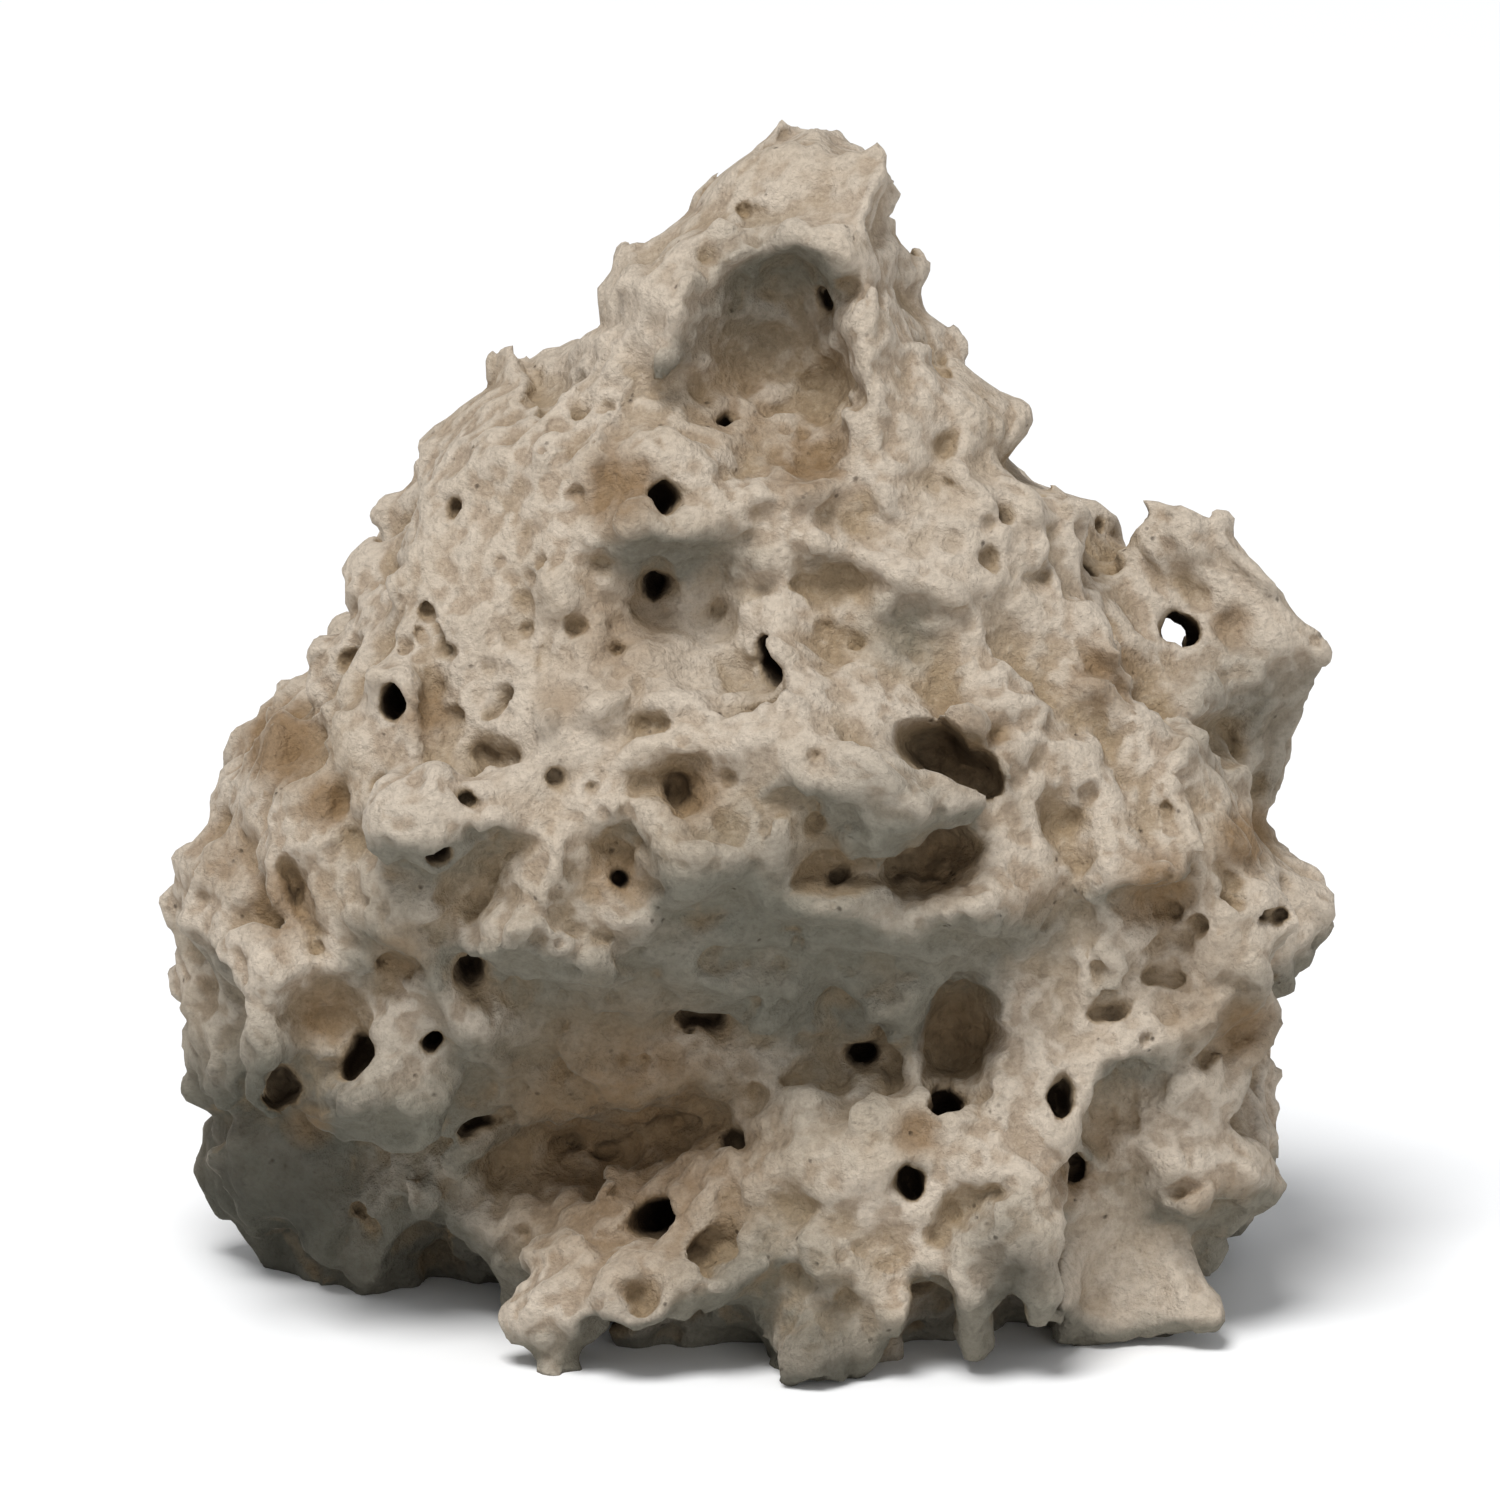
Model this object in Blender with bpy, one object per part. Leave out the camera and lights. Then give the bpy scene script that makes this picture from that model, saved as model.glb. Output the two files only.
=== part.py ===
"""Porous limestone base rock for an aquarium: one stone at its real size.

Metres, +Z up. The front, with the overhanging brow, faces -Y. The origin is on the
ground, under the middle of the stone's box. The tables are in millimetres.
"""

import math
import random

import bmesh
import bpy
import numpy as np
from mathutils import Matrix, Vector, noise
from mathutils.bvhtree import BVHTree

MM = 0.001

# Driving dimensions
STONE_HEIGHT = 186.0
# The tables are drawn at this height, and scaled to the stone's
DRAWN_HEIGHT = 186.0
SCALE = MM * STONE_HEIGHT / DRAWN_HEIGHT
VIEW_ELEVATION = math.radians(15.0)

# Surface resolution
VOXEL = 1.45 * MM
BLEND = 6
FACES_WANTED = 9300
LEAST_EDGE = 0.05 * MM
TIP = 1.8
BLUNT_STEPS = 8
LIMESTONE_COLOUR = (0.43, 0.36, 0.29, 1.0)
LIMESTONE_ROUGHNESS = 0.95

# The directions in which the front's features are measured: to the right, up and inward
SIDE = Vector((1, 0, 0))
RISE = Vector((0, math.sin(VIEW_ELEVATION), math.cos(VIEW_ELEVATION)))
INWARD = Vector((0, math.cos(VIEW_ELEVATION), -math.sin(VIEW_ELEVATION)))
UPWARD = Vector((0, 0, 1))

# The mass of the stone: height, then how far left, right, front and back it reaches
LEVELS = (
    (-8, -70, 68, -20, 46),
    (4, -80, 78, -24, 54),
    (20, -87, 84, -22, 60),
    (34, -89, 84, -25, 62),
    (44, -91, 85, -31, 63),
    (56, -93, 88, -39, 64),
    (68, -93, 88, -46, 64),
    (80, -88, 86, -50, 62),
    (92, -81, 80, -48, 60),
    (106, -70, 68, -41, 58),
    (122, -64, 54, -34, 54),
    (138, -52, 44, -28, 48),
    (153, -35, 32, -19, 42),
    (168, -22, 27, -14, 34),
    (180, -10, 23, -9, 28),
    (187, 4, 20, -2, 20),
)
RING_POINTS = 28
RING_SQUARENESS = 2.6

# Boulders grown on the mass: centre, radii and turn in degrees about X, Y and Z
LUMPS = {
    "brow": ((6, -38, 95), (42, 22, 15), (14, -6, 0)),
    "brow_left": ((-42, -26, 88), (34, 24, 16), (0, -4, 22)),
    "brow_lip": ((-8, -40, 84), (26, 16, 12), (0, 10, 0)),
    "belly_left": ((-52, -20, 56), (32, 18, 26), (0, 0, 16)),
    "right_column": ((56, -14, 52), (28, 26, 52), (0, 0, 0)),
    "base_lobe": ((25, -30, 17), (48, 27, 30), (0, -14, -4)),
    "lobe_nose": ((-19, -34, 11), (19, 18, 14), (0, -14, 0)),
    "foot_front": ((12, -42, 2), (13, 12, 13), (0, 0, 0)),
    "foot_nib": ((-30, -40, 1), (5, 7, 12), (0, 0, 0)),
    "foot_block": ((60, -22, 10), (17, 15, 19), (0, 0, 10)),
    "foot_left": ((-68, 12, 22), (22, 25, 26), (0, 0, 0)),
    "shoulder_left": ((-78, 6, 66), (18, 24, 22), (0, 20, 0)),
    "side_left": ((-76, 8, 42), (18, 24, 20), (0, 0, 0)),
    "ear": ((72, 12, 107), (20, 14, 21), (0, 0, 0)),
    "ear_low": ((76, 14, 88), (14, 12, 14), (0, 0, 0)),
    "right_lobe": ((79, 4, 61), (15, 20, 14), (0, 0, 0)),
    "right_base": ((70, -2, 24), (17, 28, 26), (0, 0, 0)),
    "knob_high": ((20, 4, 162), (9, 12, 9), (0, 0, 0)),
    "knob_mid": ((34, 2, 141), (13, 17, 13), (0, 0, 0)),
    "knob_low": ((47, 4, 122), (13, 18, 11), (0, 0, 0)),
    "peak": ((11, 6, 175), (13, 17, 13), (0, 0, 0)),
    "back_upper": ((4, 40, 120), (40, 24, 36), (0, 0, 0)),
    "back_lower": ((-20, 44, 44), (56, 28, 44), (0, 0, 0)),
    "back_right": ((44, 38, 52), (36, 26, 40), (0, 0, 0)),
}
LUMP_FACETS = 12
LUMP_FACET_REACH = (0.70, 0.95)

# Worn relief all over: the size of the scallops, their height, and how far they are bent
SCALLOPS = ((27.0, 7.0), (13.0, 6.0), (6.5, 3.0))
SCALLOP_RIM = 0.42
BEND_SIZE = 24.0
BEND = 8.0
CRAG_SIZE = 34.0
CRAG = 4.0
CRAG_FADE = 0.9
CRAG_STEP = 2.0
CRAG_LAYERS = 3
# Broken faces: their size, and how far each one is tipped
CHIPS = ((21.0, 5.0), (10.0, 3.0))
CHIP_SHUFFLE = 7.3

# The outline seen from the front: up, then how far it reaches to the left and to the right
OUTLINE = (
    (6, -80, 75),
    (16, -88, 85),
    (24, -88, 84),
    (31, -89, 82.5),
    (39.5, -90, 83.5),
    (47, -91, 84.5),
    (57, -92.5, 92),
    (67.5, -92.5, 91.5),
    (75, -87.5, 79),
    (78.5, -86, 85),
    (90, -80.5, 85),
    (97.5, -75, 93),
    (103.5, -67, 90),
    (108, -66, 87),
    (116, -64, 80),
    (123, -61, 73),
    (126.5, -59, 51),
    (128.5, -57, 44.5),
    (134.5, -52.5, 44),
    (143.5, -43.5, 43),
    (146.5, -38, 35),
    (150.5, -31, 30),
    (153.5, -29, 27.4),
    (160.5, -22.5, 28),
    (165.5, -18.5, 26),
    (175, -6, 23),
    (182, 1, 20.5),
    (185, 7, 19),
)
OUTLINE_ROW = 3.0
OUTLINE_MARGIN = 0.7
OUTLINE_MOST = 5.0
OUTLINE_REACH = 0.25
OUTLINE_BLUR = (0.15, 0.2, 0.3, 0.2, 0.15)

# Flat faces of the front: across, up, width, height, and tip to the right and up
FACETS = {
    "tooth": (10, 176, 30, 18, -0.15, 0.3),
    "tooth_left": (-8, 172, 14, 12, -0.8, 0.5),
    "flank_left": (-44, 118, 24, 26, -0.5, 0.45),
    "flank_low": (-62, 100, 12, 18, -0.5, 0.3),
    "shoulder_left": (-60, 86, 12, 13, -0.2, 0.3),
    "brow_top": (-34, 88, 20, 10, -0.1, 0.5),
    "brow_right": (18, 91, 26, 12, 0.1, 0.5),
    "shoulder_right": (32, 120, 18, 14, 0.4, 0.5),
    "knob": (35, 137, 16, 16, 0.3, 0.3),
    "ear": (80, 110, 16, 22, 0.5, 0.2),
    "foot_block": (60, 3, 24, 14, 0.1, 0.1),
    "lobe_top": (14, 22, 26, 14, -0.2, 0.5),
    "bulge": (-76, 18, 22, 20, -0.3, -0.2),
}
FACET_HOLD = 0.8

# Hollows and, where the depth is below 0, ridges of the front: across, up, width, height, depth and turn
FORMS = {
    "peak_bowl": (3, 147, 34, 41, 19, 0),
    "peak_bowl_left": (-7, 164, 9, 9, 3, 0),
    "tooth_under": (7, 159, 25, 14, 8, 0),
    "peak_shoulder": (-26, 147, 10, 9, 3, 0),
    "bowl_rim": (4, 126.5, 34, 6, -4, 9),
    "hole_gutter": (-19, 129, 12, 7, 4, -15),
    "ridge_left": (-12, 121, 36, 7, -3.5, 3),
    "ridge_right": (20, 115.5, 32, 5, -4.5, -22),
    "middle_left": (-12, 110, 34, 19, 6, -10),
    "middle_right": (11, 108, 20, 20, 5, 0),
    "grey_pocket": (24, 105, 11, 10, 3, 0),
    "middle_rim": (-12, 93.5, 50, 5, -4, 4),
    "left_facet": (-36, 106, 16, 12, 4, 0),
    "left_groove": (-51, 95, 8, 26, 5, 8),
    "left_patch": (-74, 87, 11, 14, 5, 0),
    "left_patch_low": (-67, 78, 5, 11, 4, 0),
    "left_fissure": (-73, 64, 4.5, 17, 6, 25),
    "brow_dish": (-41, 84, 14, 10, 4, 0),
    "brown_pit_wide": (-10, 80, 15, 13, 5, 0),
    "brow_pocket": (-22, 68, 20, 17, 9, 20),
    "pocket_floor": (-32, 56, 20, 9, -6, -30),
    "promontory": (-6, 70, 16, 5, -4, -10),
    "twin": (11, 72, 17, 18, 6, 20),
    "twin_rim": (13, 61.5, 22, 5, -4, 15),
    "big_low_wide": (30, 70, 22, 17, 7, 20),
    "big_low_rim": (34, 61.5, 14, 5, -4, 15),
    "big_oval_wide": (31, 88, 26, 15, 4, -30),
    "left_dish": (-44, 63, 15, 15, 6, 0),
    "yellow_bump": (-56, 55, 15, 10, -4, 20),
    "bore_bump": (-42, 43, 15, 10, -4, 0),
    "low_hollow": (-69, 42, 19, 19, 7, 30),
    "low_rim": (-63, 31, 15, 5, -4, -10),
    "crevice": (-43, 26.5, 17, 4, 11, 28),
    "recess": (-24, 22, 52, 17, 13, 15),
    "keyhole_wide": (33, 43, 15, 21, 7, -15),
    "tan_pocket": (26, 26, 9, 9, 4, 0),
    "tan_patch": (56, 26, 9, 9, 3, 0),
    "right_bowl": (65, 62, 19, 13, 7, 0),
    "right_rough": (68, 50, 20, 22, 5, 30),
    "right_patch": (78, 42, 9, 19, 4, 20),
    "ear_groove": (76, 106, 11, 6, 4, 15),
    "slant_groove": (56, 99, 16, 5, 5, -45),
    "ear_notch": (79, 88, 19, 11, 9, 0),
    "neck": (50, 72, 9, 26, 5, 5),
    "peak_hollow": (3, 149, 8, 12, 5, -10),
    "peak_pocket": (11, 132, 13, 7, 6, 30),
    "twin_upper": (9.5, 74.5, 12, 11, 5, 0),
    "twin_lower": (14, 67, 16, 8, 5, 15),
    "brow_pit": (-21, 72, 8, 8, 5, 0),
    "brown_pit": (-10, 80, 9, 10, 7, 0),
    "middle_pit": (-29.5, 94, 7, 8, 4, 0),
    "base_brown": (-3.5, 13.5, 9, 9, 5, 0),
    "knob_gap": (56, 116, 8, 9, 4, 0),
}
FORM_EDGE = 2.4
HOLLOW_EDGE = 2.0

# Hollows of the underside: across, inward, width, length and height above the lowest level
HOLLOWS = {
    "arch": (41, -38, 14, 42, 24),
    "lobe": (-10, -46, 28, 42, 19),
    "lobe_tip": (-37, -44, 11, 34, 17),
    "lobe_gap": (-23, -46, 9, 34, 15),
    "lobe_right": (28, -46, 14, 34, 17),
    "left": (-52, -16, 34, 44, 22),
    "left_edge": (-78, -12, 34, 36, 15),
    "middle": (0, 8, 118, 58, 15),
    "right_edge": (84, -4, 28, 44, 20),
    "back": (4, 58, 34, 32, 16),
    "back_left": (-74, 52, 30, 26, 14),
}
LOWEST = -8.0

# Holes of the front: across, up, width, height, depth, turn, and lean to the right and up
HOLES = {
    "peak_pin": (-1, 171, 2.4, 3, 6, 0, 0, 0),
    "peak_crescent": (11.5, 157, 3, 6, 6, 15, 0, 0),
    "peak_low": (-4, 138, 3.5, 3.5, 6, 0, 0, 0),
    "round_deep": (-13, 126, 5.5, 6.3, 14, 0, 0, 0),
    "middle_pin": (-15, 112, 4.5, 4.5, 10, 0, 0, 0),
    "middle_left": (-28, 105, 5, 4, 8, 0, 0, 0),
    "middle_slot": (2.5, 99.5, 5.5, 10, 14, 24, 0, 0),
    "left_slit": (-48, 125, 3, 5, 9, 0, 0.3, 0),
    "left_square": (-58.5, 94, 5.5, 7, 13, 0, 0, 0),
    "left_crack": (-44.5, 79, 8, 2.5, 6, -25, 0, 0),
    "pin_pit": (10.5, 85.5, 3, 3, 5, 0, 0, 0),
    "big_oval": (31.5, 86, 20, 9.5, 17, -30, 0, -0.05),
    "big_low": (29, 69, 17, 12, 9, 15, -0.2, 0.1),
    "brow_hole": (-20.5, 65.5, 4, 4, 7, 0, 0, 0),
    "dish_hole": (-48.5, 69, 5.5, 4.5, 12, 0, -0.2, 0.2),
    "low_dot": (-58, 53, 3.5, 3.5, 4, 0, 0, 0),
    "low_bore": (-44.5, 52, 5, 6.5, 9, 0, 0, 0),
    "low_round": (-51, 40.5, 4.5, 4.5, 12, 0, 0, 0),
    "low_oval": (-63, 37.5, 5.5, 9, 9, -10, 0, 0),
    "low_deep_wide": (-71.5, 33, 13, 10, 4, 0, 0, 0),
    "low_deep": (-75.5, 32.5, 6.5, 7.5, 12, 0, 0, 0),
    "under_arch": (-7.5, 44, 7, 3.5, 5, 0, 0, 0),
    "under_brown": (-3, 25, 5.5, 5, 6, 0, 0, 0),
    "under_dark": (-28, 24, 3, 5, 6, -15, 0, 0),
    "ledge_black": (18.5, 38.5, 7.5, 4.5, 12, 15, 0, 0),
    "ledge_small": (7, 34, 4, 3, 8, 0, 0, 0),
    "keyhole": (33, 41, 13, 22, 11, -12, -0.1, 0),
    "keyhole_foot": (31, 32, 7, 6, 16, 30, 0, 0),
    "right_drop": (50, 32, 5.5, 8.5, 11, -10, 0, 0),
    "foot_slot": (25, 18, 4.5, 6.5, 11, -8, 0, 0),
    "foot_slit": (37.5, 16.5, 6, 2.8, 8, 0, 0, 0),
    "foot_round": (51, 18.5, 9, 8, 12, -10, 0.2, 0.1),
    "base_black": (-15, 12, 8.5, 8.5, 18, 0, 0, 0),
    "lobe_slit": (82.5, 60, 6, 3, 7, 5, 0, 0),
    "shoulder_pit": (34, 134, 5, 6, 2, 0, 0, 0),
    "shoulder_low": (38, 116, 4, 6, 4, 0, 0, 0),
    "shoulder_pin": (47, 122, 2.2, 2.2, 4, 0, 0, 0),
    "shoulder_dark": (55, 114.5, 4, 3, 4, 0, 0, 0),
    "foot_rough": (68, 17, 8, 5, 3, 10, 0, 0),
}
HOLE_EDGE = 5.0
HOLE_LIP = 1.7
HOLE_LIP_DEPTH = 0.9

# How a hollow is pressed: the unevenness of its edge, how far around it is looked, and its direction
WOBBLES = ((12.0, 0.35), (3.5, 0.14))
PRESS_REACH = 3.0
FAR_SIDE = 0.5
STEEP = 0.2
TURN_TO_SURFACE = 0.3

# The bore right through the ear: across, up, width, and lean of its far end
EAR_BORE = (68, 105.5, 7.0, (-0.1, -0.08))
EAR_BORE_LENGTH = 80
EAR_BORE_START = 20
EAR_BORE_SIDES = 12

# Pits over the back, the sides and the top: their width, and height and depth as shares of it
SPARE_PITS = 150
MIDDLE = (0, 8, 80)
SPARE_PIT_WIDTH = (3.5, 12.0)
SPARE_PIT_SMALLNESS = 2.5
SPARE_PIT_HEIGHT = (0.7, 1.2)
SPARE_PIT_DEPTH = (0.5, 1.3)
FRONT_SHARE = 0.1
NEAR_PLACE = 1.0 * MM
SEED = 12


def ring_point(angle, left, right, front, back):
    """A point on one level's outline, between an oval and a box."""
    power = 2.0 / RING_SQUARENESS
    across = math.copysign(abs(math.cos(angle)) ** power, math.cos(angle))
    inward = math.copysign(abs(math.sin(angle)) ** power, math.sin(angle))
    x = (left + right) / 2 + across * (right - left) / 2
    y = (front + back) / 2 + inward * (back - front) / 2
    return x, y


def add_mass(shape):
    """The stone's mass: a ring for each level, bridged to the next, with closed ends."""
    rings = []
    for height, left, right, front, back in LEVELS:
        ring = bmesh.ops.create_circle(shape, segments=RING_POINTS, radius=1.0)["verts"]
        for index, vert in enumerate(ring):
            angle = 2 * math.pi * index / RING_POINTS
            x, y = ring_point(angle, left, right, front, back)
            vert.co = Vector((x, y, height)) * SCALE
        rings.append((ring, list({edge for vert in ring for edge in vert.link_edges})))
    for lower, upper in zip(rings, rings[1:]):
        bmesh.ops.bridge_loops(shape, edges=lower[1] + upper[1])
    for ring in (rings[0][0], rings[-1][0]):
        shape.faces.new(ring)


def chisel(vectors, rng):
    """Flattens a unit ball with a few cleaved faces."""
    for _ in range(LUMP_FACETS):
        facing = Vector([rng.gauss(0, 1) for _ in range(3)]).normalized()
        reach = rng.uniform(*LUMP_FACET_REACH)
        for vector in vectors:
            beyond = vector.dot(facing) - reach
            if beyond > 0:
                vector -= facing * beyond


def add_lump(shape, name):
    centre, radii, turn = LUMPS[name]
    rng = random.Random(name)
    ball = bmesh.ops.create_icosphere(shape, subdivisions=4, radius=1.0)["verts"]
    vectors = [v.co.copy() for v in ball]
    chisel(vectors, rng)
    place = (
        Matrix.Translation(Vector(centre) * SCALE)
        @ Matrix.Rotation(math.radians(turn[2]), 4, "Z")
        @ Matrix.Rotation(math.radians(turn[1]), 4, "Y")
        @ Matrix.Rotation(math.radians(turn[0]), 4, "X")
        @ Matrix.Diagonal((*(Vector(radii) * SCALE), 1.0))
    )
    for vert, vector in zip(ball, vectors):
        vert.co = place @ vector


def stone_object():
    shape = bmesh.new()
    add_mass(shape)
    for name in LUMPS:
        add_lump(shape, name)
    bmesh.ops.recalc_face_normals(shape, faces=shape.faces)
    mesh = bpy.data.meshes.new("base_rock")
    shape.to_mesh(mesh)
    shape.free()
    stone = bpy.data.objects.new("base_rock", mesh)
    bpy.context.scene.collection.objects.link(stone)
    return stone


def modified(stone, kind, **settings):
    """Replaces the stone's mesh by what one modifier makes of it."""
    modifier = stone.modifiers.new(kind.lower(), kind)
    for name, value in settings.items():
        setattr(modifier, name, value)
    bpy.context.view_layer.update()
    graph = bpy.context.evaluated_depsgraph_get()
    made = bpy.data.meshes.new_from_object(stone.evaluated_get(graph))
    stone.modifiers.clear()
    stone.data = made


def remesh(stone, smooth=1):
    modified(stone, "REMESH", mode="VOXEL", voxel_size=VOXEL)
    if smooth:
        modified(stone, "SMOOTH", iterations=smooth)


def read_points(stone):
    """The mesh's points and outward directions."""
    mesh = stone.data
    points = np.zeros(len(mesh.vertices) * 3)
    mesh.vertices.foreach_get("co", points)
    outward = np.zeros(len(mesh.vertices) * 3)
    mesh.vertex_normals.foreach_get("vector", outward)
    return points.reshape(-1, 3), outward.reshape(-1, 3)


def write_points(stone, points):
    stone.data.vertices.foreach_set("co", points.ravel())
    stone.data.update()


def scallop(place):
    """0 in the middle of a scallop, rising to a sharp rim where two meet."""
    return noise.voronoi(place)[0][0] ** 2


def chip(place, size):
    """The height of a broken face: each cell is a plane, tipped its own way."""
    cell = noise.voronoi(place / size)[1][0]
    facing = noise.cell_vector(cell * CHIP_SHUFFLE) * 2 - Vector((1, 1, 1))
    return facing.dot(place / size - cell)


def weather(stone):
    """Wears the whole surface into scallops with sharp rims between them."""
    points, outward = read_points(stone)
    heights = np.zeros(len(points))
    for index, point in enumerate(points):
        place = Vector(point) / SCALE
        bent = place + noise.noise_vector(place / BEND_SIZE) * BEND
        height = CRAG * noise.fractal(place / CRAG_SIZE, CRAG_FADE, CRAG_STEP, CRAG_LAYERS)
        for size, rise in SCALLOPS:
            height += rise * (scallop(bent / size) - SCALLOP_RIM)
        for size, rise in CHIPS:
            height += rise * chip(bent, size)
        heights[index] = height
    write_points(stone, points + outward * (heights * SCALE)[:, None])


def fit_outline(stone):
    """Draws the sides in or out, so that the stone has its outline from the front."""
    points, _ = read_points(stone)
    up = points @ np.array(RISE) / SCALE
    rows = np.arange(OUTLINE[0][0], OUTLINE[-1][0], OUTLINE_ROW)
    heights, left, right = np.array(OUTLINE).T
    across = points[:, 0] / SCALE - np.interp(up, heights, (left + right) / 2)
    wanted = np.interp(rows, heights, (right - left) / 2) + OUTLINE_MARGIN
    for sign in (-1, 1):
        reach = np.array([(across[np.abs(up - row) < OUTLINE_ROW / 2] * sign).max() for row in rows])
        change = np.pad(wanted - reach, len(OUTLINE_BLUR) // 2, mode="edge")
        change = np.convolve(change, OUTLINE_BLUR, mode="valid").clip(-OUTLINE_MOST, OUTLINE_MOST)
        share = across * sign / np.interp(up, rows, reach)
        weight = np.clip((share - OUTLINE_REACH) / (1 - OUTLINE_REACH), 0, 1) ** 2
        points[:, 0] += sign * SCALE * weight * np.interp(up, rows, change)
    write_points(stone, points)


def surface_tree(stone):
    mesh = stone.data
    corners = [v.co.copy() for v in mesh.vertices]
    return BVHTree.FromPolygons(corners, [tuple(p.vertices) for p in mesh.polygons])


def on_front(tree, across, up):
    """Where the line of sight through (across, up) meets the stone, and its outward direction."""
    start = (SIDE * across + RISE * up) * SCALE - INWARD
    place, outward, _, _ = tree.ray_cast(start, INWARD)
    return place, outward


def press(points, outward, centre, inward, width, height, depth, turn, edge):
    """Presses an oval hollow into the points. A higher edge gives steeper walls."""
    side = inward.cross(UPWARD)
    side = side.normalized() if side.length > STEEP else SIDE.copy()
    side.rotate(Matrix.Rotation(math.radians(-turn), 3, inward))
    rise = side.cross(inward)
    offset = points - np.array(centre)
    reach = (max(width, height, 2 * abs(depth)) + PRESS_REACH) * SCALE
    near = np.flatnonzero(np.abs(offset).max(1) < reach)
    offset = offset[near]
    u = offset @ np.array(side) / (width / 2 * SCALE)
    v = offset @ np.array(rise) / (height / 2 * SCALE)
    radial = np.hypot(u, v)
    for size, share in WOBBLES:
        radial *= [1 + share * noise.noise(Vector(p) / (size * SCALE)) for p in points[near]]
    fall = np.clip(1 - radial ** edge, 0, 1)
    fall *= np.clip(1 - offset @ np.array(inward) / reach, 0, 1)
    fall *= np.clip((FAR_SIDE - outward[near] @ np.array(inward)) / FAR_SIDE, 0, 1)
    points[near] += np.array(inward) * (depth * SCALE * fall)[:, None]


def press_front(stone, table, edge, lip=False):
    """Presses a table's hollows into the front. Those with a lip carry a thin wall along."""
    tree = surface_tree(stone)
    points, outward = read_points(stone)
    carried = np.zeros_like(outward) if lip else outward
    for name, row in table.items():
        across, up, width, height, depth, turn = row[:6]
        lean = row[6:] or (0, 0)
        place, facing = on_front(tree, across, up)
        if place is None:
            raise RuntimeError("no stone at " + name)
        inward = INWARD.lerp(-facing, TURN_TO_SURFACE) + SIDE * lean[0] + RISE * lean[1]
        inward.normalize()
        if lip:
            wide, high = width * HOLE_LIP, height * HOLE_LIP
            press(points, outward, place, inward, wide, high, HOLE_LIP_DEPTH, turn, HOLLOW_EDGE)
        press(points, carried, place, inward, width, height, depth, turn, edge)
    write_points(stone, points)


def flatten_facets(stone):
    """Flattens the front where it broke along a plane."""
    tree = surface_tree(stone)
    points, _ = read_points(stone)
    for across, up, width, height, right, rise in FACETS.values():
        place, _ = on_front(tree, across, up)
        facing = (SIDE * right + RISE * rise - INWARD).normalized()
        offset = points - np.array(place)
        u = offset @ np.array(SIDE) / (width / 2 * SCALE)
        v = offset @ np.array(RISE) / (height / 2 * SCALE)
        above = offset @ np.array(facing)
        w = above / (width / 2 * SCALE)
        weight = FACET_HOLD * np.clip(1 - (u * u + v * v + w * w) ** 2, 0, 1)
        points -= np.array(facing) * (weight * above)[:, None]
    write_points(stone, points)


def press_hollows(stone):
    """Hollows the underside from below, so that the stone stands on its knobs."""
    points, outward = read_points(stone)
    for across, inward, width, length, height in HOLLOWS.values():
        centre = Vector((across, inward, LOWEST)) * SCALE
        press(points, outward, centre, UPWARD, width, length, height, 0, HOLLOW_EDGE)
    write_points(stone, points)


def cut_flat(stone):
    """Rubs the lowest knobs flat at the ground, so that the stone stands still."""
    shape = bmesh.new()
    shape.from_mesh(stone.data)
    cut = bmesh.ops.bisect_plane(
        shape, geom=shape.verts[:] + shape.edges[:] + shape.faces[:],
        plane_co=(0, 0, 0), plane_no=(0, 0, -1), clear_outer=True,
    )
    edges = [e for e in cut["geom_cut"] if isinstance(e, bmesh.types.BMEdge)]
    bmesh.ops.triangle_fill(shape, edges=edges, use_beauty=True)
    bmesh.ops.recalc_face_normals(shape, faces=shape.faces)
    shape.to_mesh(stone.data)
    shape.free()


def seen_from_front(tree, place):
    """Whether the line of sight reaches this place."""
    met, _, _, _ = tree.ray_cast(place - INWARD, INWARD)
    return met is not None and (met - place).length < NEAR_PLACE


def press_spare_pits(stone):
    """Pits where the front's own don't reach: the back, the sides, the top and the foot."""
    rng = random.Random(SEED)
    tree = surface_tree(stone)
    points, outward = read_points(stone)
    made = 0
    while made < SPARE_PITS:
        aim = Vector([rng.gauss(0, 1) for _ in range(3)]).normalized()
        place, facing, _, _ = tree.ray_cast(Vector(MIDDLE) * SCALE + aim, -aim)
        inward = -facing
        if inward.dot(INWARD) > FRONT_SHARE:
            continue
        small, large = SPARE_PIT_WIDTH
        width = small + (large - small) * rng.random() ** SPARE_PIT_SMALLNESS
        height = width * rng.uniform(*SPARE_PIT_HEIGHT)
        depth = width * rng.uniform(*SPARE_PIT_DEPTH)
        turn = rng.uniform(0, 180)
        made += 1
        if not seen_from_front(tree, place):
            press(points, outward, place, inward, width, height, depth, turn, HOLE_EDGE)
    write_points(stone, points)


def bore_ear(stone):
    """Cuts the bore through the ear."""
    across, up, width, lean = EAR_BORE
    axis = (INWARD + SIDE * lean[0] + RISE * lean[1]).normalized()
    place, _ = on_front(surface_tree(stone), across, up)
    middle = place + axis * (EAR_BORE_LENGTH / 2 - EAR_BORE_START) * SCALE
    radius = width / 2 * SCALE
    shape = bmesh.new()
    bmesh.ops.create_cone(
        shape, cap_ends=True, segments=EAR_BORE_SIDES, radius1=radius, radius2=radius,
        depth=EAR_BORE_LENGTH * SCALE,
        matrix=Matrix.Translation(middle) @ axis.to_track_quat("Z", "Y").to_matrix().to_4x4(),
    )
    mesh = bpy.data.meshes.new("ear_bore_cutter")
    shape.to_mesh(mesh)
    shape.free()
    cutter = bpy.data.objects.new("ear_bore_cutter", mesh)
    bpy.context.scene.collection.objects.link(cutter)
    modified(stone, "BOOLEAN", object=cutter, operation="DIFFERENCE")
    bpy.data.objects.remove(cutter)


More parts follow.
